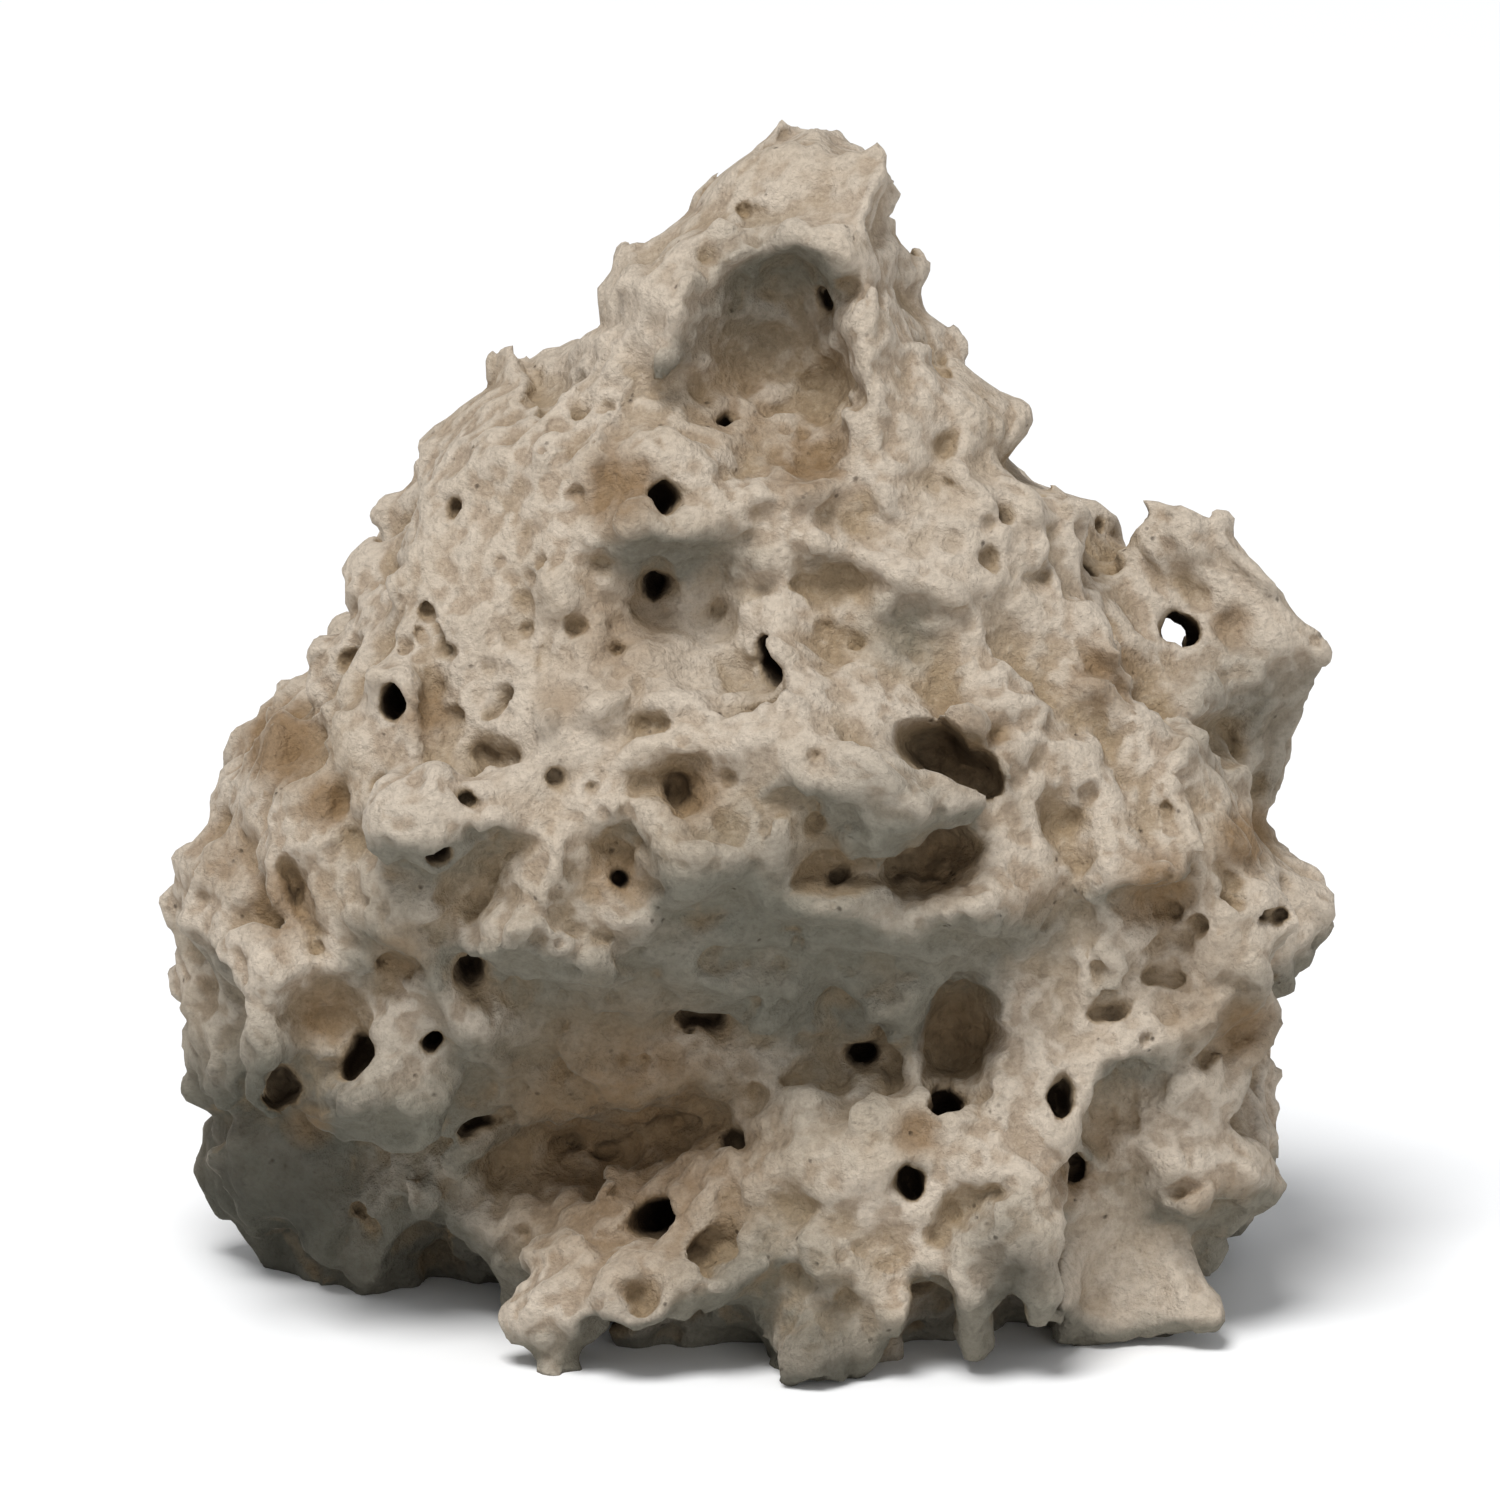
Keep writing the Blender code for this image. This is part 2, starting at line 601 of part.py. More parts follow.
def blunt(stone, steps):
    """Wears down thin tips: no point stays far out of the evened surface."""
    mesh = stone.data
    ends = np.zeros(len(mesh.edges) * 2, dtype=np.int32)
    mesh.edges.foreach_get("vertices", ends)
    ends = ends.reshape(-1, 2)
    count = np.bincount(ends.ravel(), minlength=len(mesh.vertices))[:, None]
    points, outward = read_points(stone)
    even = points.copy()
    for _ in range(steps):
        total = np.zeros_like(even)
        for here, there in (ends.T, ends.T[::-1]):
            for axis in range(3):
                total[:, axis] += np.bincount(here, even[there, axis], len(even))
        even = (even + total / count) / 2
    offset = points - even
    proud = (offset * outward).sum(1) > 0
    share = np.minimum(1, TIP * SCALE / np.linalg.norm(offset, axis=1).clip(LEAST_EDGE))
    write_points(stone, np.where(proud[:, None], even + offset * share[:, None], points))


def triangulate(stone):
    """Brings the stone down to its wanted number of triangles."""
    modified(stone, "TRIANGULATE")
    modified(stone, "DECIMATE", ratio=FACES_WANTED / len(stone.data.polygons))


def largest_body(shape):
    """The corners of the largest connected body."""
    left = set(shape.verts)
    largest = set()
    while left:
        found = {left.pop()}
        grown = found
        while grown:
            grown = {edge.other_vert(vert) for vert in grown for edge in vert.link_edges} & left
            left -= grown
            found |= grown
        largest = max(largest, found, key=len)
    return largest


def mend(stone):
    """Removes loose crumbs, merges what is shorter than the least edge, and closes what that opens."""
    shape = bmesh.new()
    shape.from_mesh(stone.data)
    kept = largest_body(shape)
    bmesh.ops.delete(shape, geom=[v for v in shape.verts if v not in kept], context="VERTS")
    bmesh.ops.dissolve_degenerate(shape, dist=LEAST_EDGE, edges=shape.edges)
    bmesh.ops.triangulate(shape, faces=shape.faces)
    bmesh.ops.recalc_face_normals(shape, faces=shape.faces)
    shape.to_mesh(stone.data)
    shape.free()


def centre_over_origin(stone):
    """Puts the origin on the ground, under the middle of the stone's box."""
    points, _ = read_points(stone)
    middle = (points.min(0) + points.max(0)) / 2
    points -= np.array([middle[0], middle[1], points[:, 2].min()])
    write_points(stone, points)


def limestone():
    material = bpy.data.materials.new("limestone")
    material.use_nodes = True
    shader = material.node_tree.nodes["Principled BSDF"]
    shader.inputs["Base Color"].default_value = LIMESTONE_COLOUR
    shader.inputs["Roughness"].default_value = LIMESTONE_ROUGHNESS
    shader.inputs["Metallic"].default_value = 0.0
    material.diffuse_color = LIMESTONE_COLOUR
    return material


def main():
    for old in list(bpy.data.objects):
        bpy.data.objects.remove(old)
    noise.seed_set(SEED)
    stone = stone_object()
    remesh(stone, smooth=BLEND)
    press_hollows(stone)
    weather(stone)
    flatten_facets(stone)
    remesh(stone, smooth=0)
    press_front(stone, FORMS, FORM_EDGE)
    bore_ear(stone)
    remesh(stone, smooth=0)
    press_front(stone, HOLES, HOLE_EDGE, lip=True)
    press_spare_pits(stone)
    fit_outline(stone)
    remesh(stone)
    blunt(stone, BLUNT_STEPS)
    fit_outline(stone)
    triangulate(stone)
    cut_flat(stone)
    mend(stone)
    centre_over_origin(stone)
    stone.data.materials.append(limestone())
    return stone


if __name__ == "__main__":
    main()
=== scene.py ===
"""The looks of the porous limestone base rock: its fine relief, its finish, the light and the camera.

The stone is carved as the CAD source carves it, from the same values, on a finer mesh.
The tables are in millimetres.
"""

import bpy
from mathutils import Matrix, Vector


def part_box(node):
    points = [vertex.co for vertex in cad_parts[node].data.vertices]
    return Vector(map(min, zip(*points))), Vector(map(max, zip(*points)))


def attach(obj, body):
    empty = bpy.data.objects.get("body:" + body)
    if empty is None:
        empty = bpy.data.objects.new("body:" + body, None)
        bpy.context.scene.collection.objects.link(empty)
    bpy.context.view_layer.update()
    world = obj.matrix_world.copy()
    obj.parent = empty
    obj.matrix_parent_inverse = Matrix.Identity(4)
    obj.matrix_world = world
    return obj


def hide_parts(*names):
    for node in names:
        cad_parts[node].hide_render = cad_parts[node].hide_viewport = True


bl_info = {
    "name": "Porous Limestone Base Rock",
    "version": (1, 0, 0),
    "blender": (4, 5, 0),
    "location": "3D View > Sidebar > Base Rock",
    "description": "Carves a porous limestone base rock and lights it in a plain studio",
    "category": "Object",
}

import math
import random

import bmesh
import bpy
import numpy as np
from bpy.props import FloatProperty, FloatVectorProperty, IntProperty, PointerProperty
from mathutils import Matrix, Vector, noise
from mathutils.bvhtree import BVHTree

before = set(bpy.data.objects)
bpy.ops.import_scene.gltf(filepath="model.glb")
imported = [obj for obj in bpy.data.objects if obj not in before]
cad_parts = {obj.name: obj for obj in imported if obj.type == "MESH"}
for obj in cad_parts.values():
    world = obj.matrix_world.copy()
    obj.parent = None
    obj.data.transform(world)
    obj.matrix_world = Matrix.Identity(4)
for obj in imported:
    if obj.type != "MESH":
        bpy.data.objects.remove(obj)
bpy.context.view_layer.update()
NODE = "base_rock"
NODE_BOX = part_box(NODE)

MM = 0.001
SCALE = MM
VIEW_ELEVATION = math.radians(15.0)

# The stage, in metres: the floor, the soft lights, the room's light and the point the camera aims at
FLOOR_RADIUS = 6.0
FLOOR_SIDES = 64
FLOOR_ROUGHNESS = 0.9
KEY_PLACE = (-1.1, -2.4, 5.8)
KEY_SIZE = 3.0
FILL_PLACE = (0.8, -2.6, 0.6)
FILL_SIZE = 1.6
ROOM_COLOUR = (0.93, 0.96, 1.0, 1.0)
VIEW_MIDDLE = (0.0005, -0.0055)
CLIP = (0.05, 50.0)

# The meshes: the voxels on which the main forms and the fine ones are carved, the smoothing that
# blends the masses, the finished number of triangles, and the shortest edge that is kept
VOXEL = 1.45 * MM
FINE_VOXEL = 0.8 * MM
BLEND = 6
FACES_WANTED = 190000
LEAST_EDGE = 0.02 * MM

# How far a thin tip may stand out of the evened surface, in millimetres, and how even that is
TIP = 1.3
BLUNT_STEPS = 26

# The directions in which the front's features are measured: to the right, up and inward
SIDE = Vector((1, 0, 0))
RISE = Vector((0, math.sin(VIEW_ELEVATION), math.cos(VIEW_ELEVATION)))
INWARD = Vector((0, math.cos(VIEW_ELEVATION), -math.sin(VIEW_ELEVATION)))
UPWARD = Vector((0, 0, 1))

# The mass of the stone: height, then how far left, right, front and back it reaches
LEVELS = (
    (-8, -70, 68, -20, 46),
    (4, -80, 78, -24, 54),
    (20, -87, 84, -22, 60),
    (34, -89, 84, -25, 62),
    (44, -91, 85, -31, 63),
    (56, -93, 88, -39, 64),
    (68, -93, 88, -46, 64),
    (80, -88, 86, -50, 62),
    (92, -81, 80, -48, 60),
    (106, -70, 68, -41, 58),
    (122, -64, 54, -34, 54),
    (138, -52, 44, -28, 48),
    (153, -35, 32, -19, 42),
    (168, -22, 27, -14, 34),
    (180, -10, 23, -9, 28),
    (187, 4, 20, -2, 20),
)
RING_POINTS = 28
RING_SQUARENESS = 2.6

# Boulders grown on the mass: centre, radii and turn in degrees about X, Y and Z
LUMPS = {
    "brow": ((6, -38, 95), (42, 22, 15), (14, -6, 0)),
    "brow_left": ((-42, -26, 88), (34, 24, 16), (0, -4, 22)),
    "brow_lip": ((-8, -40, 84), (26, 16, 12), (0, 10, 0)),
    "belly_left": ((-52, -20, 56), (32, 18, 26), (0, 0, 16)),
    "right_column": ((56, -14, 52), (28, 26, 52), (0, 0, 0)),
    "base_lobe": ((25, -30, 17), (48, 27, 30), (0, -14, -4)),
    "lobe_nose": ((-19, -34, 11), (19, 18, 14), (0, -14, 0)),
    "foot_front": ((12, -42, 2), (13, 12, 13), (0, 0, 0)),
    "foot_nib": ((-30, -40, 1), (5, 7, 12), (0, 0, 0)),
    "foot_block": ((60, -22, 10), (17, 15, 19), (0, 0, 10)),
    "foot_left": ((-68, 12, 22), (22, 25, 26), (0, 0, 0)),
    "shoulder_left": ((-78, 6, 66), (18, 24, 22), (0, 20, 0)),
    "side_left": ((-76, 8, 42), (18, 24, 20), (0, 0, 0)),
    "ear": ((72, 12, 107), (20, 14, 21), (0, 0, 0)),
    "ear_low": ((76, 14, 88), (14, 12, 14), (0, 0, 0)),
    "right_lobe": ((79, 4, 61), (15, 20, 14), (0, 0, 0)),
    "right_base": ((70, -2, 24), (17, 28, 26), (0, 0, 0)),
    "knob_high": ((20, 4, 162), (9, 12, 9), (0, 0, 0)),
    "knob_mid": ((34, 2, 141), (13, 17, 13), (0, 0, 0)),
    "knob_low": ((47, 4, 122), (13, 18, 11), (0, 0, 0)),
    "peak": ((11, 6, 175), (13, 17, 13), (0, 0, 0)),
    "back_upper": ((4, 40, 120), (40, 24, 36), (0, 0, 0)),
    "back_lower": ((-20, 44, 44), (56, 28, 44), (0, 0, 0)),
    "back_right": ((44, 38, 52), (36, 26, 40), (0, 0, 0)),
}
LUMP_FACETS = 12
LUMP_FACET_REACH = (0.70, 0.95)

# Worn relief all over: the size of the scallops, their height, and how far they are bent
SCALLOPS = ((27.0, 7.0), (13.0, 6.0), (6.5, 3.0))
SCALLOP_RIM = 0.42
BEND_SIZE = 24.0
BEND = 8.0
CRAG_SIZE = 34.0
CRAG = 4.0
CRAG_FADE = 0.9
CRAG_STEP = 2.0
CRAG_LAYERS = 3
# Broken faces: their size, and how far each one is tipped
CHIPS = ((21.0, 5.0), (10.0, 3.0))
CHIP_SHUFFLE = 7.3

# The outline seen from the front: up, then how far it reaches to the left and to the right
OUTLINE = (
    (6, -80, 75),
    (16, -88, 85),
    (24, -88, 84),
    (31, -89, 82.5),
    (39.5, -90, 83.5),
    (47, -91, 84.5),
    (57, -92.5, 92),
    (67.5, -92.5, 91.5),
    (75, -87.5, 79),
    (78.5, -86, 85),
    (90, -80.5, 85),
    (97.5, -75, 93),
    (103.5, -67, 90),
    (108, -66, 87),
    (116, -64, 80),
    (123, -61, 73),
    (126.5, -59, 51),
    (128.5, -57, 44.5),
    (134.5, -52.5, 44),
    (143.5, -43.5, 43),
    (146.5, -38, 35),
    (150.5, -31, 30),
    (153.5, -29, 27.4),
    (160.5, -22.5, 28),
    (165.5, -18.5, 26),
    (175, -6, 23),
    (182, 1, 20.5),
    (185, 7, 19),
)
OUTLINE_ROW = 3.0
OUTLINE_MARGIN = 0.7
OUTLINE_MOST = 5.0
OUTLINE_REACH = 0.25
OUTLINE_BLUR = (0.15, 0.2, 0.3, 0.2, 0.15)

# Flat faces of the front: across, up, width, height, and tip to the right and up
FACETS = {
    "tooth": (10, 176, 30, 18, -0.15, 0.3),
    "tooth_left": (-8, 172, 14, 12, -0.8, 0.5),
    "flank_left": (-44, 118, 24, 26, -0.5, 0.45),
    "flank_low": (-62, 100, 12, 18, -0.5, 0.3),
    "shoulder_left": (-60, 86, 12, 13, -0.2, 0.3),
    "brow_top": (-34, 88, 20, 10, -0.1, 0.5),
    "brow_right": (18, 91, 26, 12, 0.1, 0.5),
    "shoulder_right": (32, 120, 18, 14, 0.4, 0.5),
    "knob": (35, 137, 16, 16, 0.3, 0.3),
    "ear": (80, 110, 16, 22, 0.5, 0.2),
    "foot_block": (60, 3, 24, 14, 0.1, 0.1),
    "lobe_top": (14, 22, 26, 14, -0.2, 0.5),
    "bulge": (-76, 18, 22, 20, -0.3, -0.2),
}
FACET_HOLD = 0.8

# Hollows and, where the depth is below 0, ridges of the front: across, up, width, height, depth and turn
FORMS = {
    "peak_bowl": (3, 147, 34, 41, 19, 0),
    "peak_bowl_left": (-7, 164, 9, 9, 3, 0),
    "tooth_under": (7, 159, 25, 14, 8, 0),
    "peak_shoulder": (-26, 147, 10, 9, 3, 0),
    "bowl_rim": (4, 126.5, 34, 6, -4, 9),
    "hole_gutter": (-19, 129, 12, 7, 4, -15),
    "ridge_left": (-12, 121, 36, 7, -3.5, 3),
    "ridge_right": (20, 115.5, 32, 5, -4.5, -22),
    "middle_left": (-12, 110, 34, 19, 6, -10),
    "middle_right": (11, 108, 20, 20, 5, 0),
    "grey_pocket": (24, 105, 11, 10, 3, 0),
    "middle_rim": (-12, 93.5, 50, 5, -4, 4),
    "left_facet": (-36, 106, 16, 12, 4, 0),
    "left_groove": (-51, 95, 8, 26, 5, 8),
    "left_patch": (-74, 87, 11, 14, 5, 0),
    "left_patch_low": (-67, 78, 5, 11, 4, 0),
    "left_fissure": (-73, 64, 4.5, 17, 6, 25),
    "brow_dish": (-41, 84, 14, 10, 4, 0),
    "brown_pit_wide": (-10, 80, 15, 13, 5, 0),
    "brow_pocket": (-22, 68, 20, 17, 9, 20),
    "pocket_floor": (-32, 56, 20, 9, -6, -30),
    "promontory": (-6, 70, 16, 5, -4, -10),
    "twin": (11, 72, 17, 18, 6, 20),
    "twin_rim": (13, 61.5, 22, 5, -4, 15),
    "big_low_wide": (30, 70, 22, 17, 7, 20),
    "big_low_rim": (34, 61.5, 14, 5, -4, 15),
    "big_oval_wide": (31, 88, 26, 15, 4, -30),
    "left_dish": (-44, 63, 15, 15, 6, 0),
    "yellow_bump": (-56, 55, 15, 10, -4, 20),
    "bore_bump": (-42, 43, 15, 10, -4, 0),
    "low_hollow": (-69, 42, 19, 19, 7, 30),
    "low_rim": (-63, 31, 15, 5, -4, -10),
    "crevice": (-43, 26.5, 17, 4, 11, 28),
    "recess": (-24, 22, 52, 17, 13, 15),
    "keyhole_wide": (33, 43, 15, 21, 7, -15),
    "tan_pocket": (26, 26, 9, 9, 4, 0),
    "tan_patch": (56, 26, 9, 9, 3, 0),
    "right_bowl": (65, 62, 19, 13, 7, 0),
    "right_rough": (68, 50, 20, 22, 5, 30),
    "right_patch": (78, 42, 9, 19, 4, 20),
    "ear_groove": (76, 106, 11, 6, 4, 15),
    "slant_groove": (56, 99, 16, 5, 5, -45),
    "ear_notch": (79, 88, 19, 11, 9, 0),
    "neck": (50, 72, 9, 26, 5, 5),
    "peak_hollow": (3, 149, 8, 12, 5, -10),
    "peak_pocket": (11, 132, 13, 7, 6, 30),
    "twin_upper": (9.5, 74.5, 12, 11, 5, 0),
    "twin_lower": (14, 67, 16, 8, 5, 15),
    "brow_pit": (-21, 72, 8, 8, 5, 0),
    "brown_pit": (-10, 80, 9, 10, 7, 0),
    "middle_pit": (-29.5, 94, 7, 8, 4, 0),
    "base_brown": (-3.5, 13.5, 9, 9, 5, 0),
    "knob_gap": (56, 116, 8, 9, 4, 0),
}
FORM_EDGE = 2.4
HOLLOW_EDGE = 2.0

# Hollows of the underside: across, inward, width, length and height above the lowest level
HOLLOWS = {
    "arch": (41, -38, 14, 42, 24),
    "lobe": (-10, -46, 28, 42, 19),
    "lobe_tip": (-37, -44, 11, 34, 17),
    "lobe_gap": (-23, -46, 9, 34, 15),
    "lobe_right": (28, -46, 14, 34, 17),
    "left": (-52, -16, 34, 44, 22),
    "left_edge": (-78, -12, 34, 36, 15),
    "middle": (0, 8, 118, 58, 15),
    "right_edge": (84, -4, 28, 44, 20),
    "back": (4, 58, 34, 32, 16),
    "back_left": (-74, 52, 30, 26, 14),
}
LOWEST = -8.0

# Holes of the front: across, up, width, height, depth, turn, and lean to the right and up
HOLES = {
    "peak_pin": (-1, 171, 2.4, 3, 6, 0, 0, 0),
    "peak_crescent": (11.5, 157, 3, 6, 6, 15, 0, 0),
    "peak_low": (-4, 138, 3.5, 3.5, 6, 0, 0, 0),
    "round_deep": (-13, 126, 5.5, 6.3, 14, 0, 0, 0),
    "middle_pin": (-15, 112, 4.5, 4.5, 10, 0, 0, 0),
    "middle_left": (-28, 105, 5, 4, 8, 0, 0, 0),
    "middle_slot": (2.5, 99.5, 5.5, 10, 14, 24, 0, 0),
    "left_slit": (-48, 125, 3, 5, 9, 0, 0.3, 0),
    "left_square": (-58.5, 94, 5.5, 7, 13, 0, 0, 0),
    "left_crack": (-44.5, 79, 8, 2.5, 6, -25, 0, 0),
    "pin_pit": (10.5, 85.5, 3, 3, 5, 0, 0, 0),
    "big_oval": (31.5, 86, 20, 9.5, 17, -30, 0, -0.05),
    "big_low": (29, 69, 17, 12, 9, 15, -0.2, 0.1),
    "brow_hole": (-20.5, 65.5, 4, 4, 7, 0, 0, 0),
    "dish_hole": (-48.5, 69, 5.5, 4.5, 12, 0, -0.2, 0.2),
    "low_dot": (-58, 53, 3.5, 3.5, 4, 0, 0, 0),
    "low_bore": (-44.5, 52, 5, 6.5, 9, 0, 0, 0),
    "low_round": (-51, 40.5, 4.5, 4.5, 12, 0, 0, 0),
    "low_oval": (-63, 37.5, 5.5, 9, 9, -10, 0, 0),
    "low_deep_wide": (-71.5, 33, 13, 10, 4, 0, 0, 0),
    "low_deep": (-75.5, 32.5, 6.5, 7.5, 12, 0, 0, 0),
    "under_arch": (-7.5, 44, 7, 3.5, 5, 0, 0, 0),
    "under_brown": (-3, 25, 5.5, 5, 6, 0, 0, 0),
    "under_dark": (-28, 24, 3, 5, 6, -15, 0, 0),
    "ledge_black": (18.5, 38.5, 7.5, 4.5, 12, 15, 0, 0),
    "ledge_small": (7, 34, 4, 3, 8, 0, 0, 0),
    "keyhole": (33, 41, 13, 22, 11, -12, -0.1, 0),
    "keyhole_foot": (31, 32, 7, 6, 16, 30, 0, 0),
    "right_drop": (50, 32, 5.5, 8.5, 11, -10, 0, 0),
    "foot_slot": (25, 18, 4.5, 6.5, 11, -8, 0, 0),
    "foot_slit": (37.5, 16.5, 6, 2.8, 8, 0, 0, 0),
    "foot_round": (51, 18.5, 9, 8, 12, -10, 0.2, 0.1),
    "base_black": (-15, 12, 8.5, 8.5, 18, 0, 0, 0),
    "lobe_slit": (82.5, 60, 6, 3, 7, 5, 0, 0),
    "shoulder_pit": (34, 134, 5, 6, 2, 0, 0, 0),
    "shoulder_low": (38, 116, 4, 6, 4, 0, 0, 0),
    "shoulder_pin": (47, 122, 2.2, 2.2, 4, 0, 0, 0),
    "shoulder_dark": (55, 114.5, 4, 3, 4, 0, 0, 0),
    "foot_rough": (68, 17, 8, 5, 3, 10, 0, 0),
}
HOLE_EDGE = 5.0
HOLE_LIP = 1.7
HOLE_LIP_DEPTH = 0.9

# How a hollow is pressed: the unevenness of its edge, how far around it is looked, and its direction
WOBBLES = ((12.0, 0.35), (3.5, 0.14))
PRESS_REACH = 3.0
FAR_SIDE = 0.5
STEEP = 0.2
TURN_TO_SURFACE = 0.3

# The bore right through the ear: across, up, width, and lean of its far end
EAR_BORE = (68, 105.5, 7.0, (-0.1, -0.08))
EAR_BORE_LENGTH = 80
EAR_BORE_START = 20
EAR_BORE_SIDES = 12

# Pits over the back, the sides and the top: their width, and height and depth as shares of it
SPARE_PITS = 150
MIDDLE = (0, 8, 80)
SPARE_PIT_WIDTH = (3.5, 12.0)
SPARE_PIT_SMALLNESS = 2.5
SPARE_PIT_HEIGHT = (0.7, 1.2)
SPARE_PIT_DEPTH = (0.5, 1.3)
FRONT_SHARE = 0.1
NEAR_PLACE = 1.0 * MM
SEED = 12


def ring_point(angle, left, right, front, back):
    """A point on one level's outline, between an oval and a box."""
    power = 2.0 / RING_SQUARENESS
    across = math.copysign(abs(math.cos(angle)) ** power, math.cos(angle))
    inward = math.copysign(abs(math.sin(angle)) ** power, math.sin(angle))
    x = (left + right) / 2 + across * (right - left) / 2
    y = (front + back) / 2 + inward * (back - front) / 2
    return x, y


def add_mass(shape):
    """The stone's mass: a ring for each level, bridged to the next, with closed ends."""
    rings = []
    for height, left, right, front, back in LEVELS:
        ring = bmesh.ops.create_circle(shape, segments=RING_POINTS, radius=1.0)["verts"]
        for index, vert in enumerate(ring):
            angle = 2 * math.pi * index / RING_POINTS
            x, y = ring_point(angle, left, right, front, back)
            vert.co = Vector((x, y, height)) * SCALE
        rings.append((ring, list({edge for vert in ring for edge in vert.link_edges})))
    for lower, upper in zip(rings, rings[1:]):
        bmesh.ops.bridge_loops(shape, edges=lower[1] + upper[1])
    for ring in (rings[0][0], rings[-1][0]):
        shape.faces.new(ring)


def chisel(vectors, rng):
    """Flattens a unit ball with a few cleaved faces."""
    for _ in range(LUMP_FACETS):
        facing = Vector([rng.gauss(0, 1) for _ in range(3)]).normalized()
        reach = rng.uniform(*LUMP_FACET_REACH)
        for vector in vectors:
            beyond = vector.dot(facing) - reach
            if beyond > 0:
                vector -= facing * beyond


def add_lump(shape, name):
    """One boulder: a chiselled ball, stretched, turned and set in its place."""
    centre, radii, turn = LUMPS[name]
    rng = random.Random(name)
    ball = bmesh.ops.create_icosphere(shape, subdivisions=4, radius=1.0)["verts"]
    vectors = [v.co.copy() for v in ball]
    chisel(vectors, rng)
    place = (
        Matrix.Translation(Vector(centre) * SCALE)
        @ Matrix.Rotation(math.radians(turn[2]), 4, "Z")
        @ Matrix.Rotation(math.radians(turn[1]), 4, "Y")
        @ Matrix.Rotation(math.radians(turn[0]), 4, "X")
        @ Matrix.Diagonal((*(Vector(radii) * SCALE), 1.0))
    )
    for vert, vector in zip(ball, vectors):
        vert.co = place @ vector


def stone_object():
    """The mass and its boulders as one object, still overlapping."""
    shape = bmesh.new()
    add_mass(shape)
    for name in LUMPS:
        add_lump(shape, name)
    bmesh.ops.recalc_face_normals(shape, faces=shape.faces)
    mesh = bpy.data.meshes.new("base_rock")
    shape.to_mesh(mesh)
    shape.free()
    stone = bpy.data.objects.new("base_rock", mesh)
    bpy.context.scene.collection.objects.link(stone)
    return stone


def modified(stone, kind, **settings):
    """Replaces the stone's mesh by what one modifier makes of it."""
    modifier = stone.modifiers.new(kind.lower(), kind)
    for name, value in settings.items():
        setattr(modifier, name, value)
    bpy.context.view_layer.update()
    graph = bpy.context.evaluated_depsgraph_get()
    made = bpy.data.meshes.new_from_object(stone.evaluated_get(graph))
    stone.modifiers.clear()
    stone.data = made


def remesh(stone, smooth=1):
    """Joins what overlaps into one even skin, and smooths it."""
    modified(stone, "REMESH", mode="VOXEL", voxel_size=VOXEL)
    if smooth:
        modified(stone, "SMOOTH", iterations=smooth)


def read_points(stone):
    """The mesh's points and outward directions."""
    mesh = stone.data
    points = np.zeros(len(mesh.vertices) * 3)
    mesh.vertices.foreach_get("co", points)
    outward = np.zeros(len(mesh.vertices) * 3)
    mesh.vertex_normals.foreach_get("vector", outward)
    return points.reshape(-1, 3), outward.reshape(-1, 3)


def write_points(stone, points):
    """Moves the mesh's points to these places."""
    stone.data.vertices.foreach_set("co", points.ravel())
    stone.data.update()


def scallop(place):
    """0 in the middle of a scallop, rising to a sharp rim where two meet."""
    return noise.voronoi(place)[0][0] ** 2


def chip(place, size):
    """The height of a broken face: each cell is a plane, tipped its own way."""
    cell = noise.voronoi(place / size)[1][0]
    facing = noise.cell_vector(cell * CHIP_SHUFFLE) * 2 - Vector((1, 1, 1))
    return facing.dot(place / size - cell)


def weather(stone):
    """Wears the whole surface into scallops with sharp rims between them."""
    points, outward = read_points(stone)
    heights = np.zeros(len(points))
    for index, point in enumerate(points):
        place = Vector(point) / SCALE
        bent = place + noise.noise_vector(place / BEND_SIZE) * BEND
        height = CRAG * noise.fractal(place / CRAG_SIZE, CRAG_FADE, CRAG_STEP, CRAG_LAYERS)
        for size, rise in SCALLOPS:
            height += rise * (scallop(bent / size) - SCALLOP_RIM)
        for size, rise in CHIPS:
            height += rise * chip(bent, size)
        heights[index] = height
    write_points(stone, points + outward * (heights * SCALE)[:, None])


def fit_outline(stone):
    """Draws the sides in or out, so that the stone has its outline from the front."""
    points, _ = read_points(stone)
    up = points @ np.array(RISE) / SCALE
    rows = np.arange(OUTLINE[0][0], OUTLINE[-1][0], OUTLINE_ROW)
    heights, left, right = np.array(OUTLINE).T
    across = points[:, 0] / SCALE - np.interp(up, heights, (left + right) / 2)
    wanted = np.interp(rows, heights, (right - left) / 2) + OUTLINE_MARGIN
    for sign in (-1, 1):
        reach = np.array([(across[np.abs(up - row) < OUTLINE_ROW / 2] * sign).max() for row in rows])
        change = np.pad(wanted - reach, len(OUTLINE_BLUR) // 2, mode="edge")
        change = np.convolve(change, OUTLINE_BLUR, mode="valid").clip(-OUTLINE_MOST, OUTLINE_MOST)
        share = across * sign / np.interp(up, rows, reach)
        weight = np.clip((share - OUTLINE_REACH) / (1 - OUTLINE_REACH), 0, 1) ** 2
        points[:, 0] += sign * SCALE * weight * np.interp(up, rows, change)
    write_points(stone, points)


def surface_tree(stone):
    """The surface as it is now, ready for lines of sight to be cast at it."""
    mesh = stone.data
    corners = [v.co.copy() for v in mesh.vertices]
    return BVHTree.FromPolygons(corners, [tuple(p.vertices) for p in mesh.polygons])


def on_front(tree, across, up):
    """Where the line of sight through (across, up) meets the stone, and its outward direction."""
    start = (SIDE * across + RISE * up) * SCALE - INWARD
    place, outward, _, _ = tree.ray_cast(start, INWARD)
    return place, outward


